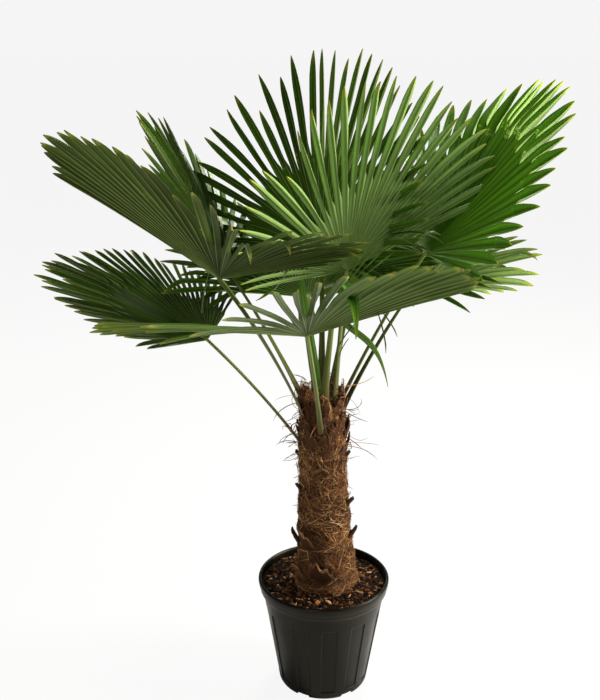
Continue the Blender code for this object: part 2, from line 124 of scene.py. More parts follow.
def pot_surface():
    """The wall's profile turned about Z; panels are pushed in by their depth times three eased steps,
    across, up from the bottom and down from the top, and the foot is lifted inside each notch."""
    pitch = 180.0 / PANELS
    half = np.concatenate([np.linspace(0, 6.9, 7), np.linspace(7.3, 9.3, 7), np.linspace(10.2, pitch, 5)])
    local = np.concatenate([-half[:0:-1], half[:-1]])
    turn = np.radians((FIRST_PANEL + 2 * pitch * np.arange(PANELS)[:, None] + local[None, :]).ravel())
    local = np.radians(np.tile(local, PANELS))
    wall = np.unique(np.round(np.concatenate([
        np.linspace(0.0125, 0.0195, 4), np.linspace(PANEL_LOW - 0.001, PANEL_LOW + 0.004, 6),
        np.linspace(0.03, 0.224, 16), np.linspace(PANEL_HIGH - 0.004, PANEL_HIGH + 0.001, 6),
        np.linspace(0.236, 0.2715, 5)]), 5))
    band = np.linspace(0.0, 1.0, 7)
    roll = np.radians(np.linspace(10, 165, 9))
    top = RIM_RADIUS
    profile = [(0.0, 0.0), (0.06, 0.0), (0.1095, 0.0), (0.1100, 0.0), (0.1150, 0.0), (0.1170, 0.0012),
               (0.1195, 0.0055), (0.1208, 0.0095)]
    profile += [(pot_wall(z), z) for z in wall]
    profile += [(SHOULDER_RADIUS + 0.0008, 0.2733), (top - 0.0085, 0.2741), (top - 0.0062, 0.2755),
                (top - 0.0048, 0.2785)]
    outer = len(profile)
    profile += [(top - 0.0048 + 0.0048 * math.sin(0.5 * math.pi * b), 0.281 + 0.0235 * b) for b in band]
    profile += [(top - 0.005 + 0.005 * math.cos(a), 0.305 + 0.005 * math.sin(a)) for a in roll]
    profile += [(top - 0.0125, 0.296), (SHOULDER_RADIUS - POT_WALL + 0.001, 0.272),
                (SHOULDER_RADIUS - POT_WALL - 0.004, 0.255), (FOOT_RADIUS - POT_WALL, POT_FLOOR + 0.008),
                (FOOT_RADIUS - POT_WALL - 0.006, POT_FLOOR), (0.0, POT_FLOOR)]
    r, z = (np.repeat(part[:, None], len(turn), 1) for part in np.array(profile).T)
    half = 0.5 * PANEL_WIDTH * (0.86 + 0.14 * (z - PANEL_LOW) / (PANEL_HIGH - PANEL_LOW))
    inset = ease((half + 0.0008 - np.abs(local) * r) / 0.0026)
    inset = inset * ease((z - PANEL_LOW + 0.0005) / 0.0030) * ease((PANEL_HIGH + 0.0005 - z) / 0.0030)
    inset[outer:] = 0.0
    r = r - PANEL_DEPTH * inset
    notch = np.zeros_like(r)
    for k in range(NOTCHES):
        away = (turn - math.radians(FIRST_NOTCH + 360.0 * k / NOTCHES) + math.pi) % (2 * math.pi) - math.pi
        notch = np.maximum(notch, ease((0.5 * NOTCH_WIDTH - np.abs(away) * r) / 0.0035))
    notch *= (r > FLAT_FOOT) & (z < POT_FLOOR) & (np.arange(len(profile)) < outer)[:, None]
    z = z + notch * (NOTCH_HEIGHT + 0.10 * z - z)
    return around(r, turn, z)


def node_makers(tree):
    """Makers of nodes in a tree: add(kind, settings, inputs), ramp(factor, stops) and mix(how, factor,
    a, b); an input may be a plain value or another node's output."""
    def settle(socket, value):
        if isinstance(value, bpy.types.NodeSocket):
            tree.links.new(value, socket)
        elif isinstance(value, tuple) and len(value) == 3 and socket.type == "RGBA":
            socket.default_value = (*value, 1.0)
        else:
            socket.default_value = value

    def add(kind, settings=None, inputs=None):
        node = tree.nodes.new(kind)
        for key, value in (settings or {}).items():
            setattr(node, key, value)
        for key, value in (inputs or {}).items():
            settle(node.inputs[key], value)
        return node

    def ramp(factor, stops):
        node = add("ShaderNodeValToRGB", None, {"Fac": factor})
        bar = node.color_ramp
        while len(bar.elements) < len(stops):
            bar.elements.new(0.5)
        for element, (place, colour) in zip(bar.elements, stops):
            element.position, element.color = place, (*colour, 1.0)
        return node.outputs["Color"]

    def mix(how, factor, a, b):
        node = add("ShaderNodeMix", {"data_type": "RGBA", "blend_type": how}, {0: factor, 6: a, 7: b})
        return node.outputs[2]

    return add, ramp, mix


def paint(name):
    made = bpy.data.materials.new(name)
    made.use_nodes = True
    tree = made.node_tree
    add, ramp, mix = node_makers(tree)
    shader = tree.nodes["Principled BSDF"]

    def finish(colour=None, rough=None, height=None, strength=0.5, depth=0.001, **plain):
        for key, value in (("Base Color", colour), ("Roughness", rough)):
            if isinstance(value, bpy.types.NodeSocket):
                tree.links.new(value, shader.inputs[key])
            elif value is not None:
                shader.inputs[key].default_value = value
        if height is not None:
            bump = add("ShaderNodeBump", None, {"Strength": strength, "Distance": depth, "Height": height})
            tree.links.new(bump.outputs[0], shader.inputs["Normal"])
        for key, value in plain.items():
            shader.inputs[key.replace("_", " ")].default_value = value
        return made

    return add, ramp, mix, finish


def shared_effect(name, takes, gives):
    """New shader node group with named inputs and outputs (name: socket kind); returns the group, its
    node makers, the inputs' sockets inside it, and close(), which wires the outputs."""
    tree = bpy.data.node_groups.new(name, "ShaderNodeTree")
    for title, kind in takes.items():
        tree.interface.new_socket(title, in_out="INPUT", socket_type="NodeSocket" + kind)
    for title, kind in gives.items():
        tree.interface.new_socket(title, in_out="OUTPUT", socket_type="NodeSocket" + kind)
    add, ramp, mix = node_makers(tree)
    inside = add("NodeGroupInput").outputs

    def close(**values):
        end = add("NodeGroupOutput")
        for title, socket in values.items():
            tree.links.new(socket, end.inputs[title])

    return tree, (add, ramp, mix), inside, close


def noise(add, place, scale, detail=4.0, rough=0.6):
    """Fractal noise of that scale per metre, from 0 to 1."""
    return add("ShaderNodeTexNoise", None,
               {"Vector": place, "Scale": scale, "Detail": detail, "Roughness": rough}).outputs["Fac"]


def worked(add, how, *values):
    """One step of arithmetic on plain values or outputs."""
    return add("ShaderNodeMath", {"operation": how}, dict(enumerate(values))).outputs[0]


def marked(add, title, kind="Fac"):
    """A mark of the mesh, read as a value or as a Vector."""
    return add("ShaderNodeAttribute", {"attribute_name": title}).outputs[kind]


def metres(add):
    """Place on the piece, in metres."""
    return add("ShaderNodeTexCoord").outputs["Object"]


def spread(add, value, low, high, to_low, to_high):
    """Value carried from the range low..high to the range to_low..to_high, held at its ends."""
    return add("ShaderNodeMapRange", None, {"Value": value, "From Min": low, "From Max": high,
                                            "To Min": to_low, "To Max": to_high}).outputs[0]


def grain_group():
    """Grain of any drawn-out stuff: fractal noise over a place, and a shade that runs from Dark to Light
    with it."""
    tree, (add, _, _), inside, close = shared_effect(
        "grain", {"Place": "Vector", "Scale": "Float", "Rough": "Float", "Dark": "Float", "Light": "Float"},
        {"Grain": "Float", "Shade": "Float"})
    grain = noise(add, inside["Place"], inside["Scale"], 4.0, inside["Rough"])
    close(Grain=grain, Shade=spread(add, grain, 0.3, 0.7, inside["Dark"], inside["Light"]))
    return tree


GRAIN = grain_group()


def grained(add, place, scale, rough, dark, light):
    """The grain group placed in a material with its own values: the grain and the shade."""
    node = add("ShaderNodeGroup", {"node_tree": GRAIN},
               {"Place": place, "Scale": scale, "Rough": rough, "Dark": dark, "Light": light})
    return node.outputs["Grain"], node.outputs["Shade"]


def pot_plastic():
    """Near-black satin plastic: grey dust in soft clouds and a little scuffing in the gloss."""
    add, ramp, _, finish = paint("pot_plastic")
    place = metres(add)
    cloud, speck = noise(add, place, 9.0, 5.0), noise(add, place, 420.0, 3.0)
    dust = worked(add, "MULTIPLY", cloud, speck)
    colour = ramp(dust, ((0.10, (0.0020, 0.0018, 0.0011)), (0.34, (0.0033, 0.0029, 0.0018)),
                         (0.60, (0.013, 0.011, 0.007))))
    return finish(colour, spread(add, cloud, 0.3, 0.7, 0.30, 0.46), speck, 0.12, 0.0004,
                  Specular_IOR_Level=0.22, Specular_Tint=(1.0, 0.91, 0.70, 1.0))


wall = pot_surface()
pot = make_piece("pot_shell", wall, grid_faces(*wall.shape[:2]), pot_plastic(), crease=50.0, weld=True)
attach(pot, "root")
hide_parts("pot")

# ---- bark mulch ------------------------------------------------------------------------------
# Dark moist soil with a layer of broken bark and coir chips, red-brown to tan, heaped a little
# against the trunk and lying loose.
SOIL_LEVEL, SOIL_EDGE, CHIPS, CRUMBS = 0.295, 0.1625, 1500, 1400


def lumps(points, size, seed):
    """Smooth random height from -1 to 1: random values at the corners of a cubic lattice of that size,
    blended along each axis with 3t^2 - 2t^3."""
    cell = np.asarray(points, float) / size
    base = np.floor(cell)
    part = ease(cell - base)
    total = np.zeros(cell.shape[:-1])
    for corner in itertools.product((0.0, 1.0), repeat=3):
        wave = np.sin((base + corner) @ np.array([127.1, 311.7, 74.7]) + 17.3 * seed) * 43758.5453
        share = np.prod(np.where(np.array(corner) > 0, part, 1.0 - part), axis=-1)
        total += (wave - np.floor(wave)) * share
    return 2.0 * total - 1.0


def soil_height(x, y):
    """Soil level, a heap of 4 mm towards the trunk and two sizes of lumps that fade at the pot's wall."""
    flat = np.stack([x, y, 0.0 * x], -1)
    radius = np.hypot(x, y)
    rough = 0.0026 * lumps(flat, 0.016, 1) + 0.0014 * lumps(flat, 0.006, 2)
    heap = 0.004 * ease((0.130 - radius) / 0.045)
    return SOIL_LEVEL - 0.0035 + heap + rough * ease((SOIL_EDGE + 0.004 - radius) / 0.010)


def soil_plug():
    """Round plug: a polar grid whose top follows soil_height, with a straight side down to the knee."""
    turn = np.radians(np.arange(0, 360, 2.5))
    radii = np.concatenate([[0.0], np.linspace(0.02, SOIL_EDGE, 46)])
    x, y = radii[:, None] * np.cos(turn), radii[:, None] * np.sin(turn)
    top = np.stack([x, y, soil_height(x, y)], -1)
    low = [(0.159, 0.270), (0.117, POT_FLOOR + 0.010), (0.0, POT_FLOOR + 0.001)]
    side = np.stack([around(r, turn, z + 0.0 * turn) for r, z in low])
    return np.concatenate([top, side])


def turned_about(v, axis, angle):
    """Vectors turned about unit axes: v cos + (axis x v) sin + axis (axis . v)(1 - cos)."""
    c, s = np.cos(angle)[..., None], np.sin(angle)[..., None]
    return v * c + np.cross(axis, v) * s + axis * np.sum(axis * v, -1, keepdims=True) * (1 - c)


def bark_chips(count, seed, longest, shortest):
    """Chips: three rings of four corners along a bent axis, each ring scaled and jittered; lengths are
    spread evenly between the two given, and each chip lies at a random turn and a small tilt."""
    rng = np.random.default_rng(seed)
    length = rng.uniform(shortest, longest, count) * rng.uniform(0.6, 1.0, count)
    width, thick = length * rng.uniform(0.22, 0.5, count), length * rng.uniform(0.10, 0.22, count)
    along = np.array([-0.5, 0.05, 0.5])[None, :, None] + rng.uniform(-0.1, 0.1, (count, 3, 1))
    grow = np.array([0.55, 1.0, 0.6])[None, :, None] * rng.uniform(0.7, 1.25, (count, 3, 1))
    corner = np.array([[-1, -1], [1, -1], [1, 1], [-1, 1]], float)
    wide = corner[None, None, :, 0] * grow * (1 + rng.uniform(-0.3, 0.3, (count, 3, 4)))
    deep = corner[None, None, :, 1] * grow * (1 + rng.uniform(-0.3, 0.3, (count, 3, 4)))
    bend = 0.08 * (1 - 4 * along ** 2) * length[:, None, None]
    local = np.stack([(along + 0.0 * wide) * length[:, None, None], 0.5 * wide * width[:, None, None],
                      0.5 * deep * thick[:, None, None] + bend], -1)
    yaw, tilt = rng.uniform(0, 2 * np.pi, count), rng.normal(0, 0.28, count)
    roll = rng.normal(0, 0.45, count)
    for axis, angle in (((1.0, 0, 0), roll), ((0, 1.0, 0), tilt), ((0, 0, 1.0), yaw)):
        local = turned_about(local, np.array(axis), angle[:, None, None])
    radius, angle = np.sqrt(rng.uniform(0.080 ** 2, 0.1575 ** 2, count)), rng.uniform(0, 2 * np.pi, count)
    radius = np.minimum(radius, 0.1640 - 0.5 * length)
    x, y = radius * np.cos(angle), radius * np.sin(angle)
    centre = np.stack([x, y, soil_height(x, y) + 0.35 * thick + rng.uniform(0, 0.002, count)], -1)
    return local + centre[:, None, None, :], rng.uniform(0, 1, count)


def tube_faces(tubes, rows, sides):
    """Closed skins over many tubes of rows rings with an even number of sides: side quads, and each end
    closed by quads that join opposite pairs of corners."""
    side = grid_faces(rows, sides)
    k = np.arange(sides // 2 - 1)
    lid = np.stack([k, sides - 1 - k, sides - 2 - k, k + 1], -1)
    one = np.concatenate([side, lid, lid[:, ::-1] + (rows - 1) * sides])
    return (one[None] + (np.arange(tubes) * rows * sides)[:, None, None]).reshape(-1, 4)


def bark_mulch():
    """Chips dealt one of many browns each, with darker streaks along the grain and damp gloss."""
    add, ramp, mix, finish = paint("bark_mulch")
    place, deal = metres(add), marked(add, "deal")
    colour = ramp(deal, ((0.0, (0.008, 0.004, 0.002)), (0.30, (0.022, 0.009, 0.004)),
                         (0.55, (0.080, 0.030, 0.009)), (0.78, (0.220, 0.092, 0.029)),
                         (0.92, (0.46, 0.22, 0.080)), (1.0, (0.76, 0.46, 0.22))))
    grain, shade = grained(add, place, 260.0, 0.7, 0.40, 1.25)
    return finish(mix("MULTIPLY", 1.0, colour, shade), 0.75, grain, 0.6, 0.0012, Specular_IOR_Level=0.12)


mulch = bark_mulch()
plug = soil_plug()
soil = make_piece("soil_bed", plug, grid_faces(*plug.shape[:2]), mulch,
                  {"deal": 0.10 + 0.10 * lumps(plug, 0.005, 5)}, weld=True)
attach(soil, "root")
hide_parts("soil")
for title, count, seed, longest, shortest in (("bark_chips", CHIPS, 11, 0.024, 0.008),
                                              ("bark_crumbs", CRUMBS, 12, 0.008, 0.003)):
    points, deal = bark_chips(count, seed, longest, shortest)
    chips = make_piece(title, points, tube_faces(*points.shape[:3]), mulch,
                       {"deal": np.repeat(deal ** 1.8, 12)})
    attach(chips, "root")

# ---- trunk -----------------------------------------------------------------------------------
# Slightly leaning trunk, 118 to 176 mm across, wrapped in layer over layer of brown coir: each old
# sheath ends in a ragged ledge, and the strands run round the trunk crossing one another.
TRUNK_PROFILE = np.array([(0.296, 0.0885), (0.335, 0.080), (0.420, 0.074), (0.500, 0.070), (0.590, 0.064),
                          (0.660, 0.059), (0.730, 0.056), (0.780, 0.053), (0.808, 0.043), (0.820, 0.024)])
TRUNK_LEAN, TRUNK_FOOT_X = -0.030, 0.006
LEDGE_PITCH, LEDGE_DEPTH = 0.056, 0.0070
# each layer of strands: how many radians a metre it winds round the trunk, and how fine its streaks are
LAYERS = {"strand_left": (9.0, 38.0), "strand_right": (-9.0, 34.0), "strand_round": (34.0, 30.0)}


def trunk_middle(height):
    """Axis of the trunk: it drifts sideways by the lean for each metre above the soil."""
    return np.stack([TRUNK_FOOT_X + TRUNK_LEAN * (height - SOIL_LEVEL), 0.0 * height, height], -1)


def trunk_radius(height):
    """Plain radius of the trunk at a height."""
    return np.interp(height, TRUNK_PROFILE[:, 0], TRUNK_PROFILE[:, 1])


def trunk_relief(angle, height):
    """Radius at an angle and height: the taper, five soft lobes low down, two sizes of lumps, and ledges
    that are a falling saw tooth of height wound once round the trunk with a ragged edge."""
    radius = trunk_radius(height)
    round_it = around(0.07, angle, height)
    ragged = lumps(round_it, 0.030, 21) * 0.55 + lumps(round_it, 0.011, 22) * 0.22
    saw = (height / LEDGE_PITCH + angle / (2 * np.pi) + ragged) % 1.0
    ledge = LEDGE_DEPTH * (saw ** 1.6 * ease((1.0 - saw) / 0.10) - 0.85)
    fade = ease((0.800 - height) / 0.03)
    lobes = 0.0035 * np.clip((0.46 - height) / 0.16, 0, 1) * np.cos(5 * angle + 0.6)
    rough = 0.0034 * lumps(round_it, 0.020, 23) + 0.0014 * lumps(round_it, 0.007, 24)
    return radius + (ledge + rough) * fade + lobes


def trunk_skin():
    """Grid of angle by height on trunk_relief, with a flat foot below the bark and a closed crown."""
    angle = np.radians(np.arange(0, 360, 1.8))
    height = np.concatenate([[0.2965], np.linspace(0.299, 0.800, 235), np.linspace(0.803, 0.8195, 8)])
    a, h = np.meshgrid(angle, height)
    radius = trunk_relief(a, h)
    ring = trunk_middle(h) + around(radius, a, 0 * a)
    foot, crown = trunk_middle(np.array([0.2965])), trunk_middle(np.array([0.820]))
    row = (1, len(angle), 3)
    grid = np.concatenate([np.broadcast_to(foot, row), ring, np.broadcast_to(crown, row)])
    return grid, np.concatenate([a[:1], a, a[-1:]])


def coir_marks(points, turn):
    """A place for each layer of strands at each point, wound round the trunk with height, so that a
    pattern drawn out along it follows strands that lean to the left, to the right or round."""
    return {title: around(1.0, turn + wind * points[..., 2], 1.6 * points[..., 2])
            for title, (wind, _) in LAYERS.items()}


def trunk_fibre():
    """Coir: three layers of drawn-out streaks that cross, with painted shade in the gaps between the
    strands, red-brown to tan on them, with darker damp patches and paler dry ones."""
    add, _, mix, finish = paint("trunk_fibre")
    place, strands = metres(add), None
    for title, (_, scale) in LAYERS.items():
        streak = noise(add, marked(add, title, "Vector"), scale, 3.0, 0.65)
        layer = spread(add, streak, 0.52, 0.66, 0.0, 1.0)
        strands = worked(add, "MAXIMUM", strands, layer) if strands else layer
    patch, fine = noise(add, place, 26.0, 4.0), noise(add, place, 300.0, 4.0, 0.7)
    patch = spread(add, patch, 0.32, 0.68, 0.0, 1.0)
    tone = mix("MIX", patch, (0.050, 0.018, 0.006), (0.400, 0.165, 0.052))
    light = mix("MIX", fine, (0.32, 0.130, 0.042), (0.80, 0.44, 0.19))
    # Painted shade: a darker copy of the coir's tone for the gaps between the strands.
    deep = mix("MULTIPLY", 1.0, tone, (0.24, 0.21, 0.20))
    colour = mix("MIX", strands, deep, mix("MIX", 0.45, tone, light))
    return finish(colour, 0.9, strands, 1.0, 0.0032, Specular_IOR_Level=0.15)


coir = trunk_fibre()
skin, skin_turn = trunk_skin()
trunk = make_piece("trunk_wrap", skin, grid_faces(*skin.shape[:2]), coir, coir_marks(skin, skin_turn),
                   crease=60.0, weld=True)
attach(trunk, "root")
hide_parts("trunk")

# ---- leaf bases ------------------------------------------------------------------------------
# Cut stubs of old leaf stalks that stand out of the wrap, dark and woody with a torn top edge, and
# four broad boots at the foot of the trunk: azimuth, height, width, length, stand-off.
LEAF_BASES = {
    "stub_left_high": (-168, 0.655, 0.022, 0.026, 0.010),
    "stub_left_mid": (-165, 0.565, 0.022, 0.028, 0.008),
    "stub_left_low": (-168, 0.408, 0.034, 0.048, 0.012),
    "stub_right_high": (-10, 0.655, 0.022, 0.026, 0.010),
    "stub_right_mid": (-20, 0.525, 0.026, 0.030, 0.010),
    "stub_right_low": (-15, 0.431, 0.028, 0.036, 0.012),
    "boot_front": (-99, 0.342, 0.070, 0.085, 0.024),
    "boot_front_high": (-130, 0.418, 0.044, 0.058, 0.018),
    "boot_front_left": (-143, 0.318, 0.026, 0.058, 0.018),
    "stub_back_high": (75, 0.640, 0.022, 0.028, 0.010),
    "stub_back_mid": (120, 0.520, 0.026, 0.030, 0.010),
    "boot_back": (60, 0.400, 0.044, 0.060, 0.012),
}
UP = np.array([0.0, 0.0, 1.0])


def unit(v):
    """Each vector over its own length."""
    return v / np.linalg.norm(v, axis=-1, keepdims=True)


def leaf_base(azimuth, height, width, length, stand, seed, depth=0.0062, slant=0.0):
    """Tongue: an oval section of 16 corners carried up and out from the trunk, narrowing to 0.6 of its
    width, hollowed on its inner face, and ending in a ragged edge that falls to one side by the slant."""
    angle = math.radians(azimuth)
    out = np.array([math.cos(angle), math.sin(angle), 0.0])
    side = np.array([-math.sin(angle), math.cos(angle), 0.0])
    reach = trunk_radius(height) - 0.012 + 0.25 * max(0.0, width - 0.03)
    foot = trunk_middle(np.array(height)) + out * reach
    share = np.linspace(0.0, 1.0, 15)[:, None]
    turn = np.linspace(0, 2 * np.pi, 16, endpoint=False)[None, :]
    grow = np.interp(share, [0, 0.5, 1], [1.0, 0.92, 0.60])
    thick = np.interp(share, [0, 0.5, 1], [1.0, 0.90, 0.62])
    across = 0.5 * width * grow * np.cos(turn)
    deep = depth * thick * np.sin(turn) + 0.16 * across ** 2 / (0.5 * width)
    tear = 0.16 * length * lumps(np.stack([across, 0 * across + 0.01 * seed, 0 * across], -1), 0.005, 31)
    up = length * share * (0.92 - slant * (0.5 + across / width)) + tear * share ** 3
    lean = (0.012 + stand) * share ** 0.85 + 0.0 * turn
    lean_out = unit(0.35 * UP - 0.94 * out)
    points = foot + side * across[..., None] + lean_out * deep[..., None] + out * lean[..., None]
    points = points + UP * up[..., None]
    points = points + out * (0.0011 * lumps(points, 0.006, 32 + seed))[..., None]
    return points, np.broadcast_to(share, across.shape), 2 * np.abs(across) / (width * grow)


def dry_leaf_base():
    """Dead stalk: near-black brown, reddish on the flanks, paler and splintered at the torn top."""
    add, _, mix, finish = paint("leaf_base")
    place, along, edge, tint = metres(add), marked(add, "along"), marked(add, "edge"), marked(add, "deal")
    drawn = add("ShaderNodeMapping", None, {"Vector": place, "Scale": (1.0, 1.0, 0.16)}).outputs[0]
    grain = noise(add, drawn, 420.0, 4.0, 0.7)
    grain = spread(add, grain, 0.30, 0.70, 0.0, 1.0)
    body = mix("MIX", grain, (0.008, 0.0030, 0.0015), (0.110, 0.040, 0.014))
    tan = mix("MIX", grain, (0.070, 0.028, 0.010), (0.42, 0.21, 0.09))
    colour = mix("MIX", spread(add, along, 0.82, 1.0, 0.0, 0.90), body, tan)
    colour = mix("MIX", spread(add, edge, 0.72, 0.98, 0.0, 0.55), colour, tan)
    colour = mix("MIX", tint, colour, tan)
    return finish(colour, 0.80, grain, 0.9, 0.0020, Specular_IOR_Level=0.12)


dead_wood = dry_leaf_base()
for seed, (title, spec) in enumerate(LEAF_BASES.items()):
    points, along, edge = leaf_base(*spec, seed, slant=0.55 if title == "boot_front" else 0.0)
    tint = 0.55 if title == "boot_front_left" else 0.0
    worn = 0.78 if title.startswith("stub") else 1.0
    base = make_piece("torn_" + title, points, tube_faces(1, *points.shape[:2]), dead_wood,
                      {"along": worn * along, "deal": np.full(along.size, tint), "edge": worn * edge},
                      crease=55.0)
    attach(base, "root")
    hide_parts(title)

# ---- sheaths ---------------------------------------------------------------------------------
# The youngest leaf bases are still whole: dark flaps of woven fibre stand round the stalks at the top
# of the trunk, torn along their edges, each one lapped over the next.
FLAPS, GOLDEN_ANGLE = 44, 2.39996


def sheath_flaps(seed):
    """Flaps: azimuths in steps of the golden angle and heights that climb from flap to flap; each is a
    leaf base drawn out long, wide and thin."""
    rng = np.random.default_rng(seed)
    parts = [leaf_base(math.degrees(k * GOLDEN_ANGLE), 0.640 + 0.140 * k / FLAPS,
                       rng.uniform(0.026, 0.046), rng.uniform(0.045, 0.100), rng.uniform(0.001, 0.010),
                       50 + k, 0.0024) for k in range(FLAPS)]
    return tuple(np.stack(same) for same in zip(*parts))


points, along, edge = sheath_flaps(61)
tint = np.broadcast_to(np.random.default_rng(62).uniform(0, 0.16, (FLAPS, 1, 1)), along.shape)
flaps = make_piece("sheath_flaps", points, tube_faces(*points.shape[:3]), dead_wood,
                   {"along": 0.90 * along, "deal": tint, "edge": 0.85 * edge}, crease=55.0)
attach(flaps, "root")

# ---- coir strands ----------------------------------------------------------------------------
# Loose strands of the old sheaths: most lie wound on the trunk and cross one another, and many stand
# off it as curly hairs, longest round the foot of the crown.
STRAND_SIDES = 4


def strand_tubes(path, thickness):
    """Tubes of four corners round many paths (strand, step, xyz); each is thinnest at its two ends."""
    ahead = unit(np.gradient(path, axis=1))
    side = unit(np.cross(ahead, np.array([0.31, 0.17, 0.93])))
    lift = np.cross(ahead, side)
    share = np.linspace(0, 1, path.shape[1])[None, :, None, None]
    slender = np.minimum(1.0, 0.25 + 4.0 * np.minimum(share, 1 - share))
    half = 0.5 * thickness[:, None, None, None] * slender
    turn = (np.arange(STRAND_SIDES) * 2 * np.pi / STRAND_SIDES)[None, None, :, None]
    return path[:, :, None] + half * (np.cos(turn) * side[:, :, None] + np.sin(turn) * lift[:, :, None])


def wound_strands(count, seed, low, high, steep, lift):
    """Strands on the wrap: each starts at a random angle and height, climbs or falls at its own slope
    about steep with a slow bend, and rides 0.3 to 2 mm and the lift over trunk_relief, its ends lifting
    further; over the crown they stand on the relief at its shoulder. None crosses a leaf base."""
    rng = np.random.default_rng(seed)
    share = np.linspace(-0.5, 0.5, 9)[None, :]
    length = rng.uniform(0.035, 0.150, (count, 1))
    slope = rng.choice([-1.0, 1.0], (count, 1)) * np.abs(rng.normal(steep, 0.45, (count, 1)))
    height = rng.uniform(low, high, (count, 1))
    tilt = slope + rng.normal(0, 0.9, (count, 1)) * share
    run = length * share
    angle = rng.uniform(0, 2 * np.pi, (count, 1)) + run * np.cos(tilt) / 0.066
    top = high - 0.010 + 0.022 * np.sin(3 * angle + 1.0) + 0.014 * np.sin(8 * angle)
    climb = np.clip(height + run * np.sin(tilt), 0.2985, top)
    ride = lift + rng.uniform(0.0003, 0.0020, (count, 1))
    ride = ride + rng.uniform(0, 0.006, (count, 1)) * np.abs(2 * share) ** 6
    radius = trunk_relief(angle, np.minimum(climb, 0.765)) + ride
    path = trunk_middle(climb) + around(radius, angle, 0 * angle)
    clear = np.ones(count, bool)
    for azimuth, foot, width, tall, _ in LEAF_BASES.values():
        off = (angle - math.radians(azimuth) + np.pi) % (2 * np.pi) - np.pi
        over = (np.abs(off) * radius < 0.5 * width) & (climb > foot) & (climb < foot + 0.8 * tall)
        clear &= ~over.any(axis=1)
    return path[clear], rng.uniform(0.0004, 0.0014, count)[clear], rng.uniform(0, 1, count)[clear]


def loose_hairs(count, seed, low, high, longest):
    """Hairs that leave the wrap between two heights, outward and a little up, and curl: the heading
    turns steadily about a random axis while gravity draws it down."""
    rng = np.random.default_rng(seed)
    steps = 18
    angle, height = rng.uniform(0, 2 * np.pi, count), rng.uniform(low, high, count)
    radius = trunk_relief(angle, np.minimum(height, 0.80)) - 0.002
    radius = np.where(height > 0.80, radius * rng.uniform(0.75, 1.0, count), radius)
    start = trunk_middle(height) + around(radius, angle, 0 * angle)
    heading = unit(around(1.0, angle, 0 * angle) + rng.normal(0, 0.55, (count, 3)) + 0.25 * UP)
    length = longest * rng.uniform(0.12, 1.0, count) ** 1.6
    axis = unit(rng.normal(0, 1, (count, 3)))
    spin = rng.normal(0, 4.2, (count, 1))
    path = [start]
    for step in range(steps - 1):
        turned = spin / steps * (1.0 + 1.4 * step / steps)
        heading = unit(heading + turned * np.cross(axis, heading) - 0.035 * UP)
        path.append(path[-1] + heading * (length / steps)[:, None])
    return np.stack(path, 1), rng.uniform(0.0009, 0.0024, count), rng.uniform(0, 0.75, count)


def coir_strand():
    """Single strands: each dealt a brown from near black through red-brown to straw."""
    add, ramp, mix, finish = paint("coir_strand")
    place, deal = metres(add), marked(add, "deal")
    colour = ramp(deal, ((0.0, (0.022, 0.010, 0.005)), (0.35, (0.090, 0.036, 0.013)),
                         (0.65, (0.320, 0.125, 0.035)), (0.85, (0.64, 0.31, 0.10)),
                         (1.0, (0.95, 0.62, 0.30))))
    _, shade = grained(add, place, 500.0, 0.5, 0.6, 1.2)
    return finish(mix("MULTIPLY", 1.0, colour, shade), 0.8, Specular_IOR_Level=0.3)


strand = coir_strand()
for title, (path, thickness, deal) in (
        ("wound_strands", wound_strands(2850, 41, 0.300, 0.770, 0.55, 0.0)),
        ("sheath_strands", wound_strands(1600, 45, 0.640, 0.845, 1.15, 0.005)),
        ("trunk_hairs", loose_hairs(220, 42, 0.33, 0.70, 0.034)),
        ("crown_hairs", loose_hairs(190, 43, 0.67, 0.86, 0.125)),
        ("crown_fuzz", loose_hairs(700, 44, 0.64, 0.86, 0.040))):
    points = strand_tubes(path, thickness)
    piece = make_piece(title, points, tube_faces(*points.shape[:3]), strand,
                       {"deal": np.repeat(deal, path.shape[1] * STRAND_SIDES)})
    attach(piece, "root")

# ---- stalks ----------------------------------------------------------------------------------
# Long stiff leaf stalks, rounded below and hollowed above, that broaden to a fibrous foot on the
# trunk: green near the fan, olive lower down, brown and dry where the sheath begins.
# Each frond: hub, axis azimuth and elevation, roll, fold left and right, spread left and right, length,
# shortening left and right, sag, height and azimuth where the stalk leaves the trunk.
FRONDS = {
    "front_low": ((-0.047, -0.273, 1.073), -122, 19, 20, 10, 14, 111, 98, 0.50, 0.23, 0.20, 0.05, 0.720,
                  -92),
    "upper_left": ((-0.234, -0.335, 1.221), -79, 26, -18, 20, 23, 64, 104, 0.50, 0.50, 0.10, 0.04, 0.765,
                   -162),
    "right_upper": ((0.256, 0.138, 1.162), 37, 50, -16, 8, 9, 106, 104, 0.57, 0.20, 0.26, 0.03, 0.785, 12),
    "right_low": ((0.213, 0.125, 1.050), 28, 3, -16, 2, 28, 105, 110, 0.40, 0.20, 0.23, 0.12, 0.745, 30),
    "centre": ((0.047, -0.050, 1.165), -70, 74, 15, -3, -5, 74, 84, 0.51, 0.08, 0.40, 0.04, 0.795, -28),
    "lower_left": ((-0.308, 0.155, 0.925), 150, 21, 8, 6, 5, 93, 70, 0.51, 0.42, 0.20, 0.00, 0.682, 172),
    "top_back": ((-0.005, 0.200, 1.160), 94, 72, -46, 11, 15, 112, 118, 0.53, 0.18, 0.30, 0.00, 0.795, 88),
    "left_back": ((-0.256, 0.200, 1.110), 120, 45, 43, 9, 2, 115, 115, 0.52, 0.40, 0.21, 0.05, 0.780, 146),
    "back_right": ((0.090, 0.330, 1.070), 68, 25, 0, 8, 8, 112, 112, 0.48, 0.20, 0.20, 0.05, 0.770, 66),
    "back_left": ((-0.040, 0.340, 0.990), 105, 28, 0, 8, 8, 112, 112, 0.48, 0.20, 0.20, 0.06, 0.740, 108),
}
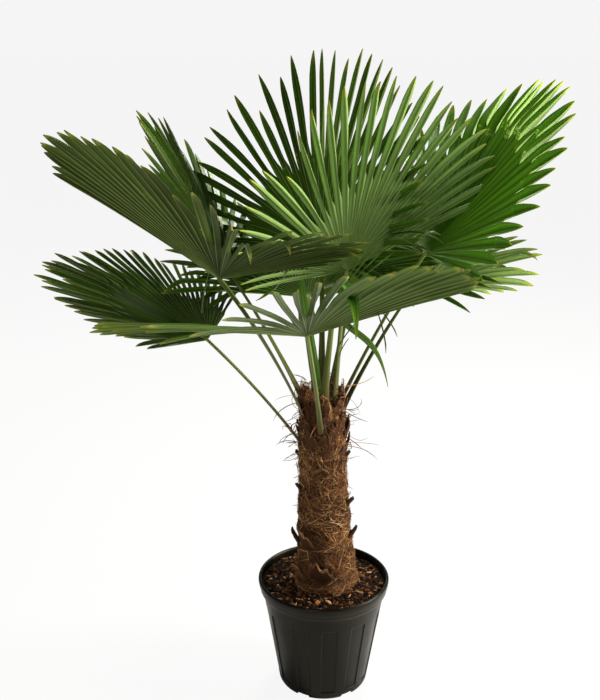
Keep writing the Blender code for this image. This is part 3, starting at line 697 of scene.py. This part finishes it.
YOUNG = ((0.018, -0.120, 1.112), -11, 52, -60, 0, 0, 15, 15, 0.20, 0.10, 0.10, 0.02, 0.795, -84)


def fan_axes(azimuth, elevation, roll):
    """Axis u, side s and upper normal n of a fan: n is the part of +Z square to u, s is n x u, and the
    roll turns both about u."""
    a, e, r = math.radians(azimuth), math.radians(elevation), math.radians(roll)
    u = np.array([math.cos(e) * math.cos(a), math.cos(e) * math.sin(a), math.sin(e)])
    n = unit(UP - u[2] * u)
    s = np.cross(n, u)
    return u, math.cos(r) * s + math.sin(r) * n, math.cos(r) * n - math.sin(r) * s


def layered(shape, *values):
    """Values spread to one shape and laid side by side as vectors."""
    return np.stack([np.broadcast_to(value, shape) for value in values], -1)


def stalk(spec, seed):
    """Section of 22 corners carried along a quadratic arc from the trunk to the hub and 10 mm on. The
    outer half is an ellipse, and the inner half is flattened to 0.4 of it with a groove down its middle."""
    hub, height, azimuth = np.array(spec[0]), spec[12], math.radians(spec[13])
    out = np.array([math.cos(azimuth), math.sin(azimuth), 0.0])
    start = trunk_middle(np.array(height)) + out * (trunk_radius(height) - 0.012)
    rise = hub - start
    bend = start + rise * np.array([0.42, 0.42, 0.53])
    t = np.linspace(0, 1, 101)[:, None]
    u, s, _ = fan_axes(*spec[1:4])
    path = (1 - t) ** 2 * start + 2 * t * (1 - t) * bend + t * t * hub
    last = unit(u + unit(hub - bend))
    path = np.concatenate([path, (hub + last * 0.005)[None], (hub + last * 0.010)[None]])
    share = np.minimum(1.0, np.arange(len(path)) / 100.0)[:, None]
    ahead = unit(np.gradient(path, axis=0))
    level = unit(np.cross(ahead, out))
    end_side = np.where((level @ -s)[:, None] > 0, -s, s)
    wide = level * (1 - share) + end_side * share
    wide = unit(wide - ahead * np.sum(wide * ahead, -1, keepdims=True))
    deep = np.cross(wide, ahead)
    broad = np.interp(share, [0, 0.10, 0.22, 0.40, 0.8, 1.0],
                      [0.031, 0.026, 0.0195, 0.0155, 0.0135, 0.0125])
    thick = np.interp(share, [0, 0.15, 0.4, 1.0], [0.0105, 0.010, 0.0095, 0.0085])
    broad = broad * (0.66 if spec is FRONDS["front_low"] else 1.0)
    for size in (broad, thick):
        size[-2:] *= np.array([[0.8], [0.35]])
    turn = np.linspace(0, 2 * np.pi, 22, endpoint=False)[None, :]
    outer = np.sin(turn) > 0
    groove = 0.30 * np.exp(-(np.cos(turn) / 0.4) ** 2) * (np.sin(turn) < -0.3)
    down = np.where(outer, np.sin(turn), 0.42 * np.sin(turn) + groove)
    points = path[:, None] + wide[:, None] * (0.5 * broad * np.cos(turn))[..., None] \
        + deep[:, None] * (0.5 * thick * down)[..., None]
    shape = points.shape[:2]
    along, inner = np.broadcast_to(share, shape), np.broadcast_to(np.where(outer, 0.0, 1.0), shape)
    grain = layered(shape, np.cos(turn), np.sin(turn) + seed, 0.12 * share)
    return points, along, inner, grain


def parted(add, title):
    """The three parts of a mark that holds vectors."""
    return add("ShaderNodeSeparateXYZ", None, {0: marked(add, title, "Vector")}).outputs


def stalk_green():
    """Stalk skin: fine lengthwise streaks on green, olive below, dry brown fibre at the foot, and a painted
    highlight that makes the hollow upper side paler."""
    add, ramp, mix, finish = paint("petiole_green")
    where, drawn = parted(add, "stalk_place"), marked(add, "stalk_grain", "Vector")
    streak, streak_shade = grained(add, drawn, 3.2, 0.6, 0.70, 1.5)
    rise = worked(add, "MULTIPLY_ADD", noise(add, metres(add), 34.0, 4.0), 0.16, where[0])
    colour = ramp(rise, ((0.06, (0.036, 0.017, 0.007)), (0.16, (0.062, 0.042, 0.011)),
                         (0.30, (0.060, 0.066, 0.014)), (0.60, (0.080, 0.102, 0.020)),
                         (1.0, (0.105, 0.142, 0.026))))
    pale = mix("MULTIPLY", 1.0, colour, streak_shade)
    # Painted highlight: the hollow upper side, where the light falls, is made paler.
    colour = mix("MIX", where[1], pale, mix("MULTIPLY", 1.0, pale, (1.18, 1.12, 1.05)))
    shade = spread(add, where[2], 0.0, 1.0, 0.45, 1.5)
    return finish(mix("MULTIPLY", 1.0, colour, shade), 0.38, streak, 0.25, 0.0005,
                  Specular_IOR_Level=0.35, Specular_Tint=(0.95, 1.0, 0.45, 1.0))


stalk_skin = stalk_green()
for seed, (name, spec) in enumerate(dict(FRONDS, young=YOUNG).items()):
    points, along, inner, grain = stalk(spec, seed)
    shade = 0.30 + 0.6 * ((0.9 - seed * 0.618) % 1.0)
    piece = make_piece("stalk_" + name, points, tube_faces(1, *points.shape[:2]), stalk_skin,
                       {"stalk_place": layered(along.shape, along, inner, shade), "stalk_grain": grain},
                       crease=75.0)
    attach(piece, "root")
    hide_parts("petiole_" + name)

# ---- fans ------------------------------------------------------------------------------------
# Round fans of stiff leaflets, joined from the hub outwards and free beyond: each leaflet is folded to
# a V along a pale rib, narrows to a tip that has often dried yellow or brown, and is glossy deep green
# above and duller grey green below.
LEAF_THICKNESS, RIB_DEPTH, PLEAT = 0.0008, 0.0013, 0.155
ACROSS = np.array([-1, -0.5, 0, 0.5, 1])
# kept part of each fan from right edge -1 to left edge 1, leaflets in the whole fan, tone from dark 0
# to bright 1, which is the fan's own green and painted light together, raised for fans that look brightly
# lit and low for fans that look shaded, share of the length that is joined at the right edge, middle and
# left edge, length over which a tip narrows, and share of the leaflets whose tips are bent
FAN_PART = {
    "front_low": (-0.79, 1.0, 36, 0.45, (0.62, 0.20, 0.80), 0.035, 0.08),
    "upper_left": (-1.0, 1.0, 36, 0.0, (0.78, 0.40, 0.44), 0.055, 0.06),
    "right_upper": (-1.0, 1.0, 34, 1.50, (0.76, 0.68, 0.40), 0.100, 0.03),
    "right_low": (-0.75, 1.0, 26, 1.10, (0.50, 0.42, 0.40), 0.055, 0.05),
    "centre": (-1.0, 1.0, 28, 2.00, (0.30, 0.44, 0.60), 0.080, 0.08),
    "lower_left": (-1.0, 1.0, 40, 0.02, (0.50, 0.56, 0.52), 0.050, 0.03),
    "top_back": (-1.0, 1.0, 40, 0.35, (0.40, 0.46, 0.42), 0.090, 0.04),
    "left_back": (-0.50, 1.0, 34, 0.25, (0.46, 0.42, 0.38), 0.080, 0.08),
    "back_right": (-1.0, 0.15, 36, 0.35, (0.45, 0.48, 0.45), 0.070, 0.05),
    "back_left": (-0.85, 0.80, 36, 0.30, (0.45, 0.48, 0.45), 0.070, 0.05),
}


def fan_point(spec, f, t):
    """Point of a fan: f runs from its right edge -1 to its left edge 1 and t from hub 0 to tip 1. The
    direction swings from the axis by f times the spread, each half tilted up by its fold, and the
    point drops by the sag times the length times t to the power 2.5."""
    fold_l, fold_r, spread_l, spread_r, reach, short_l, short_r, sag = spec[4:12]
    u, s, n = fan_axes(*spec[1:4])
    left = f > 0
    fold = np.radians(np.where(left, fold_l, fold_r))[..., None]
    theta = np.radians(f * np.where(left, spread_l, spread_r))[..., None]
    across = np.sign(theta) * np.cos(fold) * s + np.sin(fold) * n
    d = unit(np.cos(theta) * u + np.abs(np.sin(theta)) * across)
    length = (reach * (1.0 - np.where(left, short_l, short_r) * f * f))[..., None]
    t = np.asarray(t)[..., None]
    return np.array(spec[0]) + length * t * d - UP * sag * length * t ** 2.5


def fan_normal(spec, f):
    """Upper normal of a fan at f: n, tilted towards the middle by the fold of that half."""
    _, s, n = fan_axes(*spec[1:4])
    fold = np.radians(np.where(f > 0, spec[4], spec[5]))[..., None]
    return unit(n * np.cos(fold) - np.clip(6.0 * f, -1, 1)[..., None] * np.sin(fold) * s)


def shut_vee(v, m, shut):
    """Side of a V as its leaflet folds: its part along the normal m grows and its part across shrinks."""
    up = np.sum(v * m, -1, keepdims=True) * m
    return v + 0.7 * shut * up - 0.36 * shut * (v - up)


def ribbon(top, bottom, along, deal, free):
    """Ring of ten corners round a ribbon's five upper and five lower ones, with its two marks: across,
    along and underneath, and how the leaflet is dealt and how far beyond the split."""
    ring = np.concatenate([top, bottom[:, :, ::-1]], 2)
    shape = ring.shape[:3]
    place = layered(shape, np.concatenate([ACROSS, ACROSS[::-1]]), along, np.repeat([0.0, 1.0], 5))
    return ring, place, layered(shape, deal, free)


def fan_leaflets(spec, seed, low, high, count, joined, tip_length, bent, droop=1.0):
    """Closed ribbons (leaflet, row, 10 corners). Up to the split the edges are the fan's own lines at the
    leaflet's two sides, raised by PLEAT of the width, and the rib is lowered by as much; beyond it the
    same V is carried along the middle line, narrowed to the tip by a sine over the tip's length, and
    turned, drooped and swayed at random. Some tips are bent over about a line across the leaflet."""
    rng = np.random.default_rng(seed)
    first, last = round((low + 1) * count / 2), round((high + 1) * count / 2)
    edge = -1 + 2 * np.arange(first, last + 1) / count
    f0, f1 = edge[:-1], edge[1:]
    fm = 0.5 * (f0 + f1)
    n = len(fm)
    at = np.minimum(0.86, np.interp(fm, [-1, 0, 1], joined) * rng.uniform(0.88, 1.10, n))
    end = 1.0 - np.abs(rng.normal(0, 0.026, n)) - 0.14 * (rng.uniform(0, 1, n) < 0.06)
    inner = np.array([0.02, 0.12, 0.30, 0.50, 0.72, 0.88, 1.0])
    outer = np.array([0.05, 0.12, 0.22, 0.34, 0.46, 0.58, 0.68, 0.77, 0.85, 0.91, 0.955, 0.985, 1.0])
    at, end = at[:, None], end[:, None]
    t = np.concatenate([at * inner, at + (end - at) * outer], 1)
    free = np.concatenate([0 * inner, outer])[None, :]
    rows = t.shape[1]
    middle, right, left = (fan_point(spec, np.repeat(f[:, None], rows, 1), t) for f in (fm, f0, f1))
    width = np.linalg.norm(left - right, axis=-1)
    m, m0, m1 = (fan_normal(spec, f)[:, None] for f in (fm, f0, f1))
    rib = middle - PLEAT * width[..., None] * m
    right, left = right + PLEAT * width[..., None] * m0, left + PLEAT * width[..., None] * m1
    k = len(inner) - 1
    span = (np.linalg.norm(middle[:, -1] - middle[:, k], axis=-1))[:, None]
    to_tip = np.minimum(1.0, (1.0 - free) * span / (tip_length * rng.uniform(0.8, 1.3, (n, 1))))
    taper = np.maximum(0.10, np.sin(0.5 * np.pi * to_tip) ** 0.62)[..., None]
    taper = taper * (1.0 + 0.10 * np.sin(np.pi * np.clip(1.6 * free, 0, 1)))[..., None]
    shut = rng.uniform(0.5, 1.3, (n, 1)) * np.interp(at, [0.2, 0.4, 0.6, 0.85], [1.1, 1.0, 0.8, 0.3])
    shut = shut * np.minimum(1.0, free / 0.08) * (0.4 + 0.6 * np.exp(-((free - 0.16) / 0.28) ** 2))
    v0, v1 = (shut_vee((line - rib)[:, k][:, None], m, shut[..., None]) for line in (right, left))
    ahead = unit(np.gradient(middle, axis=1))
    side = unit(v1 - v0)
    loose = np.minimum(1.0, 3.0 * span[..., None])
    twist = rng.normal(0, 0.30, (n, 1)) * free * loose[..., 0] + 0.05 * rng.normal(0, 1, (n, 1))
    twist = np.where(free > 0, twist, 0.0)
    reach = middle - PLEAT * width[:, k][:, None, None] * taper * m
    sway = rng.normal(0, 0.030, (n, 1, 1)) * side + rng.normal(0, 0.030, (n, 1, 1)) * m
    drop = np.abs(rng.normal(0.02, 0.030, (n, 1, 1))) * droop
    moved = reach + span[..., None] * (free[..., None] ** 2) * (sway * loose - drop * UP)
    rib = np.where(free[..., None] > 0, moved, rib)
    v0, v1 = (turned_about(np.broadcast_to(v, ahead.shape), ahead, twist) for v in (v0, v1))
    right = np.where(free[..., None] > 0, rib + v0 * taper, right)
    left = np.where(free[..., None] > 0, rib + v1 * taper, left)
    curled = rng.uniform(0, 1, n) < bent
    for which in np.flatnonzero(curled):
        start = k + 1 + int(rng.uniform(0.55, 0.85) * (rows - k - 2))
        pivot, hinge = rib[which, start].copy(), side[which, 0]
        turn = rng.uniform(0.2, 0.9) * np.linspace(0.35, 1.0, rows - start) ** 0.5
        for line in (rib, right, left):
            rel = line[which, start:] - pivot
            line[which, start:] = pivot + turned_about(rel, np.broadcast_to(hinge, rel.shape), turn)
    face = unit(np.cross(ahead, left - right))
    top = np.stack([right, 0.5 * (right + rib), rib, 0.5 * (rib + left), left], 2)
    rib_more = np.array([0, 0.12, 1.0, 0.12, 0])[:, None] * RIB_DEPTH * (1.0 - 0.8 * t)[..., None, None]
    bottom = top - face[:, :, None] * (LEAF_THICKNESS + rib_more)
    deal = np.where(curled, 1.0, rng.uniform(0, 1, n))[:, None, None]
    return ribbon(top, bottom, t[..., None], deal, free[..., None])


# Painted light across each half of a leaflet, from the rib at 0 to the edge at 1: painted shade in the
# valley beside the rib and at the edge, and a painted highlight on the slope between. HEART_SHADE is
# painted shade, darker towards the fan's hub.
CREASE_SHADE_AND_HIGHLIGHT = [(0.0, (1.0, 1.0, 1.0)), (0.13, (0.85, 0.85, 0.80)), (0.24, (0.42, 0.44, 0.38)),
                (0.45, (0.95, 0.95, 0.92)), (0.70, (1.20, 1.20, 1.12)), (0.90, (0.90, 0.90, 0.85)),
                (1.0, (0.38, 0.40, 0.35))]
HEART_SHADE = [(0.0, (0.55, 0.55, 0.50)), (0.35, (0.85, 0.85, 0.85)), (0.75, (1.10, 1.10, 1.05))]


def leaf_figure():
    """Figure of a leaflet: upper and lower skin each run from their Dark to their Light with the fan's
    tone, partly painted light, the leaflet's deal and a cloud; fine veins run lengthwise, painted shade
    falls beside the rib, at the edges and towards the hub with a painted highlight on each half's slope,
    the rib is a pale line, the fan's heart is pale, a thin edge is pale, the last of some tips has dried
    yellow and then brown, and the tips of the brighter fans are lime with painted light through them."""
    tree, (add, ramp, mix), inside, close = shared_effect(
        "leaf_figure", {"Dark": "Color", "Light": "Color", "Under Dark": "Color", "Under Light": "Color",
                        "Rib": "Color", "Dry": "Float"},
        {"Skin": "Color", "Gloss": "Float", "Veins": "Float"})
    where, deal = parted(add, "leaf_place"), parted(add, "leaf_deal")
    seat = add("ShaderNodeCombineXYZ", None, {0: where[0], 1: where[1], 2: deal[0]}).outputs[0]
    drawn = add("ShaderNodeMapping", None, {"Vector": seat, "Scale": (7.0, 1.2, 60.0)}).outputs[0]
    veins, vein_shade = grained(add, drawn, 1.0, 0.6, 0.70, 1.30)
    off = worked(add, "ABSOLUTE", where[0])
    # The fan's tone carries painted light: it is raised for fans that look brightly lit and low for fans
    # that look shaded.
    tone = worked(add, "MULTIPLY_ADD", deal[0], 0.45, deal[2])
    tone = worked(add, "MULTIPLY_ADD", noise(add, metres(add), 9.0, 3.0), 0.35, tone)
    tone = spread(add, tone, 0.25, 2.30, 0.0, 1.0)
    upper = mix("MIX", tone, inside["Dark"], inside["Light"])
    lower = mix("MIX", tone, inside["Under Dark"], inside["Under Light"])
    skin = mix("MULTIPLY", 1.0, mix("MIX", where[2], upper, lower), vein_shade)
    # Painted shade and highlight across each leaflet, and painted shade towards the hub.
    crease = mix("MULTIPLY", 1.0, ramp(off, CREASE_SHADE_AND_HIGHLIGHT), ramp(where[1], HEART_SHADE))
    skin = mix("MULTIPLY", 1.0, skin, crease)
    rib_fade = spread(add, where[1], 0.1, 0.95, 0.95, 0.30)
    rib = worked(add, "MULTIPLY", spread(add, off, 0.05, 0.19, 1.0, 0.0), rib_fade)
    rib = worked(add, "MAXIMUM", rib, spread(add, where[1], 0.012, 0.055, 0.7, 0.0))
    rib = worked(add, "MAXIMUM", rib, spread(add, off, 0.97, 1.0, 0.0, 0.22))
    skin = mix("MIX", rib, skin, inside["Rib"])
    tip = worked(add, "MULTIPLY_ADD", worked(add, "MULTIPLY", deal[0], inside["Dry"]), 0.10, deal[1])
    skin = mix("MIX", spread(add, tip, 0.97, 1.03, 0.0, 0.75), skin, (0.30, 0.31, 0.06))
    skin = mix("MIX", spread(add, tip, 1.035, 1.07, 0.0, 0.85), skin, (0.15, 0.085, 0.035))
    # Lime tips on the brighter fans: their own lime colour with painted light shining through them.
    lime_tip_glow = worked(add, "MULTIPLY", spread(add, deal[2], 0.9, 1.4, 0.15, 0.90),
                  spread(add, deal[1], 0.80, 0.97, 0.0, 1.0))
    lime_tip_glow = worked(add, "MULTIPLY", lime_tip_glow, spread(add, deal[2], 1.6, 2.1, 1.0, 0.35))
    skin = mix("MIX", lime_tip_glow, skin, (0.45, 0.52, 0.025))
    close(Skin=skin, Gloss=spread(add, where[2], 0.0, 1.0, 0.38, 0.55), Veins=veins)
    return tree


def leaf_green(name, **colours):
    """Leaf skin: the leaf figure in this leaf's own colours, with its veins raised."""
    add, _, _, finish = paint(name)
    figure = add("ShaderNodeGroup", {"node_tree": LEAF_FIGURE},
                 {key.replace("_", " "): value for key, value in colours.items()}).outputs
    return finish(figure["Skin"], figure["Gloss"], figure["Veins"], 0.12, 0.0009,
                  Specular_IOR_Level=0.18, Specular_Tint=(0.75, 1.0, 0.30, 1.0), Subsurface_Weight=0.18,
                  Subsurface_Radius=(0.7, 1.0, 0.25), Subsurface_Scale=0.0015)


LEAF_FIGURE = leaf_figure()
leaf_skin = leaf_green("leaf_green", Dark=(0.022, 0.044, 0.006), Light=(0.135, 0.340, 0.020),
                       Under_Dark=(0.040, 0.060, 0.008), Under_Light=(0.235, 0.375, 0.110),
                       Rib=(0.26, 0.35, 0.11), Dry=1.0)
young_skin = leaf_green("young_leaf_green", Dark=(0.05, 0.17, 0.012), Light=(0.12, 0.34, 0.02),
                        Under_Dark=(0.09, 0.20, 0.03), Under_Light=(0.17, 0.33, 0.06),
                        Rib=(0.24, 0.36, 0.09), Dry=0.6)


def hang_fan(title, nodes, ring, place, deal, tone, skin_material, slot):
    """Joins ribbons into one piece, which stands for the blades that are named."""
    mark = np.concatenate([deal, np.full((*ring.shape[:3], 1), tone)], -1)
    fan = make_piece(title, ring, tube_faces(*ring.shape[:3]), skin_material,
                     {"leaf_place": place, "leaf_deal": mark}, crease=32.0)
    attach(fan, "root")
    if nodes:
        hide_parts(*nodes)


for seed, (name, spec) in enumerate(FRONDS.items()):
    low, high, count, tone, joined, tip_length, bent = FAN_PART[name]
    ring, place, deal = fan_leaflets(spec, 60 + seed, low, high, count, joined, tip_length, bent)
    hang_fan("fan_" + name, ["blade_" + name], ring, place, deal, tone, leaf_skin, "leaf_green")

# ---- young leaves ----------------------------------------------------------------------------
# The newest growth, tender and bright: a spear still folded shut, a leaf with four leaflets half
# open, and one leaflet that arches over and hangs. Among them hang leaflets torn or bent out of fans.
SPEAR_PATH = np.array([(-0.014, -0.006, 0.795), (-0.030, -0.024, 0.920), (-0.050, -0.042, 1.060),
                       (-0.066, -0.056, 1.180)])
SPEAR_WIDTHS = (0.020, 0.024, 0.019, 0.009, 0.0025)
ARCHED_PATH = np.array([(0.018, -0.112, 1.088), (0.050, -0.170, 1.030), (0.115, -0.165, 1.060),
                        (0.146, -0.150, 0.906)])
ARCHED_WIDTH, YOUNG_THICKNESS = 0.016, 0.0010

ring, place, deal = fan_leaflets(YOUNG, 90, -1.0, 1.0, 4, (0.14, 0.16, 0.14), 0.070, 0.0, droop=0.3)
hang_fan("fan_young", ["blade_young"], ring, place, deal, 0.7, young_skin, "young_leaf_green")


def vee_ribbon(path, wide, width, tip):
    """V ribbon (1, row, 10 corners) along a path of points, its two sides lying along the unit vectors
    wide, and its width growing from its foot and narrowing over the share tip."""
    t = np.linspace(0, 1, len(path))[:, None]
    face = np.cross(wide, unit(np.gradient(path, axis=0)))
    half = 0.5 * width * np.minimum(1.0, np.minimum(0.5 + 2.0 * t, 0.06 + (1 - t) / tip))
    top = path[:, None] + wide[:, None] * (half * ACROSS)[..., None] \
        + face[:, None] * (0.35 * half * np.abs(ACROSS))[..., None]
    bottom = top - face[:, None] * YOUNG_THICKNESS
    return ribbon(top[None], bottom[None], t[None], 0.5, t[None])


def arched_ribbon():
    """The arching leaflet: a ribbon along a cubic arc."""
    t = np.linspace(0, 1, 26)[:, None]
    q = 1 - t
    a, b, c, d = ARCHED_PATH
    path = q ** 3 * a + 3 * q * q * t * b + 3 * q * t * t * c + t ** 3 * d
    ahead = q * q * (b - a) + 2 * q * t * (c - b) + t * t * (d - c)
    return vee_ribbon(path, unit(np.cross(ahead, np.array([0.35, 1.0, 0.0]))), ARCHED_WIDTH, 1 / 2.4)


hang_fan("arched_ribbon", ["arched_leaflet"], *arched_ribbon(), 0.75, young_skin, "young_leaf_green")


def folded_spear():
    """Unopened fan: an oval section with seven pleats, carried up a curved line and closed to a point."""
    share = np.linspace(0, 1, 40)
    path = np.stack([np.interp(share, [0, 1 / 3, 2 / 3, 1], SPEAR_PATH[:, k]) for k in range(3)], -1)
    half = 0.5 * np.interp(share, [0, 1 / 3, 2 / 3, 0.95, 1], SPEAR_WIDTHS)
    turn = np.linspace(0, 2 * np.pi, 42, endpoint=False)
    pleat = 1.0 + 0.13 * np.cos(7 * turn)
    oval = np.stack([np.cos(turn), 0.6 * np.sin(turn), 0 * turn], -1)
    ring = path[:, None] + half[:, None, None] * pleat[None, :, None] * oval[None]
    shape, share = (1, *ring.shape[:2]), share[:, None]
    # The across mark follows the seven pleats, so the painted crease shade and highlight of the leaf figure
    # fall in their folds.
    place = layered(shape, 0.2 + 0.7 * np.cos(7 * turn), 0.1 + 0.8 * share, 0.6)
    return ring[None], place, layered(shape, 0.4, 0.9 * share)


# Stray leaflets, each torn or bent out of its fan: start, azimuth, elevation at the start and at the
# tip, how late it turns from one to the other, length, width and tone.
STRAYS = {
    "bent_in": ((-0.082, -0.177, 1.214), 184, -62, -18, 1.8, 0.125, 0.020, 1.3),
    "hanging_left": ((-0.280, -0.068, 1.166), 182, -76, -84, 1.8, 0.106, 0.014, 0.0),
    "hanging_right": ((0.103, -0.303, 1.143), 5, -72, -86, 1.8, 0.106, 0.010, 0.2),
    "hanging_far_right": ((0.113, -0.289, 1.137), 2, -52, -68, 1.8, 0.074, 0.010, 0.2),
    "hanging_middle": ((0.063, -0.274, 1.109), 178, -52, -68, 1.8, 0.090, 0.007, 0.0),
    "hanging_thread": ((0.044, -0.274, 1.068), 176, -58, -80, 1.8, 0.056, 0.005, 0.0),
    "curled_long": ((0.143, -0.016, 1.240), -2, 14, -42, 1.8, 0.150, 0.018, 0.9),
    "curled_middle": ((0.132, -0.017, 1.218), -8, 6, -24, 1.8, 0.126, 0.017, 0.7),
    "curled_short": ((0.194, -0.114, 1.247), 12, 38, -30, 1.8, 0.079, 0.018, 0.9),
    "curled_up": ((0.216, -0.144, 1.232), 160, 40, 10, 1.8, 0.068, 0.016, 0.8),
}
BENT_YOUNG = ((-0.004, -0.150, 1.150), -82, 18, -105, 5.0, 0.440, 0.023, 0.7)


def stray_path(start, azimuth, climb, fall, late, length):
    """Points of a leaflet whose elevation turns from the first to the second by a power of the share of
    its length; returned with the level unit vector across it."""
    t = np.linspace(0, 1, 40)
    a, e = math.radians(azimuth), np.radians(climb + (fall - climb) * t ** late)
    step = np.stack([np.cos(e) * math.cos(a), np.cos(e) * math.sin(a), np.sin(e)], -1) * length / len(t)
    path = np.array(start) + np.concatenate([0 * step[:1], np.cumsum(step[1:], 0)])
    return path, np.broadcast_to(np.array([math.sin(a), -math.cos(a), 0.0]), path.shape)


def stray(name, spec, skin_material, slot):
    """One stray leaflet as a piece of its own."""
    *course, width, tone = spec
    ring, place, deal = vee_ribbon(*stray_path(*course), width, 0.22)
    hang_fan(name, [], ring, place, deal, tone, skin_material, slot)


for name, spec in STRAYS.items():
    stray("stray_" + name, spec, leaf_skin, "leaf_green")
stray("stray_young", BENT_YOUNG, young_skin, "young_leaf_green")

hang_fan("folded_spear", ["spear"], *folded_spear(), 0.6, young_skin, "young_leaf_green")

# ---- floor, light and camera -----------------------------------------------------------------
# A plain pale sweep under soft studio light, seen from a little above the crown.
FLOOR_TONE, FLOOR_CLOUD, GLOW, GLOW_SHARE = (0.80, 0.80, 0.795), (0.78, 0.78, 0.775), (1.0,) * 4, 0.90
FLOOR_LEVEL, SKY_STRENGTH, SKY_SEEN = -0.0008, 0.10, 0.915
LENS, EYE, EYE_TILT = 54.257, (-0.0635, -2.5, 1.79), 18.6
# each soft box: where it hangs, the height it faces over the origin, its side, power and tint
SOFT_BOXES = {
    "key": ((3.0, -0.1, 2.2), 0.8, 1.2, 190, (1.0, 0.96, 0.88)),
    "fill": ((-1.2, -3.2, 2.6), 0.9, 1.0, 36, (1.0, 0.99, 0.96)),
    "back": ((0.6, 2.4, 3.4), 1.1, 1.0, 120, (1.0, 0.98, 0.92)),
}


def pale_sweep():
    """Matt pale floor. To the eye it glows by most of its tone, so that it stays pale into the distance
    with a soft shadow on it, and it throws back only its own matt tone on the plant."""
    add, _, mix, finish = paint("studio_floor")
    made = finish(mix("MIX", noise(add, metres(add), 3.0), FLOOR_TONE, FLOOR_CLOUD), 0.9)
    seen = worked(add, "MULTIPLY", add("ShaderNodeLightPath").outputs["Is Camera Ray"], GLOW_SHARE)
    glow = add("ShaderNodeEmission", None, {"Color": GLOW}).outputs[0]
    tree = made.node_tree
    both = add("ShaderNodeMixShader", None, {0: seen, 1: tree.nodes["Principled BSDF"].outputs[0], 2: glow})
    tree.links.new(both.outputs[0], tree.nodes["Material Output"].inputs["Surface"])
    return made


sweep = np.array([(x, y, FLOOR_LEVEL) for x, y in ((-20, -5), (20, -5), (20, 30), (-20, 30))], float)
floor = make_piece("studio_floor", sweep, np.array([[0, 1, 2, 3]]), pale_sweep(), closed=False)

sky = bpy.data.worlds.new("studio")
sky.use_nodes = True
add = node_makers(sky.node_tree)[0]
seen = add("ShaderNodeLightPath").outputs["Is Camera Ray"]
background = sky.node_tree.nodes["Background"]
sky.node_tree.links.new(spread(add, seen, 0.0, 1.0, SKY_STRENGTH, SKY_SEEN), background.inputs[1])
background.inputs[0].default_value = GLOW
bpy.context.scene.world = sky
for name, (place, aim, size, power, tint) in SOFT_BOXES.items():
    lamp = bpy.data.lights.new(name, "AREA")
    lamp.size, lamp.energy, lamp.color = size, power, tint
    thing = bpy.data.objects.new(name, lamp)
    thing.location = place
    direction = mathutils.Vector((0.0, 0.0, aim)) - mathutils.Vector(place)
    thing.rotation_euler = direction.to_track_quat("-Z", "Y").to_euler()
    bpy.context.scene.collection.objects.link(thing)

camera = bpy.data.cameras.new("camera")
camera.lens, camera.sensor_width, camera.sensor_fit = LENS, 36.0, "AUTO"
eye = bpy.data.objects.new("camera", camera)
eye.location = EYE
eye.rotation_euler = (math.radians(90 - EYE_TILT), 0.0, 0.0)
bpy.context.scene.collection.objects.link(eye)
bpy.context.scene.camera = eye
bpy.context.scene.view_settings.view_transform = "Standard"
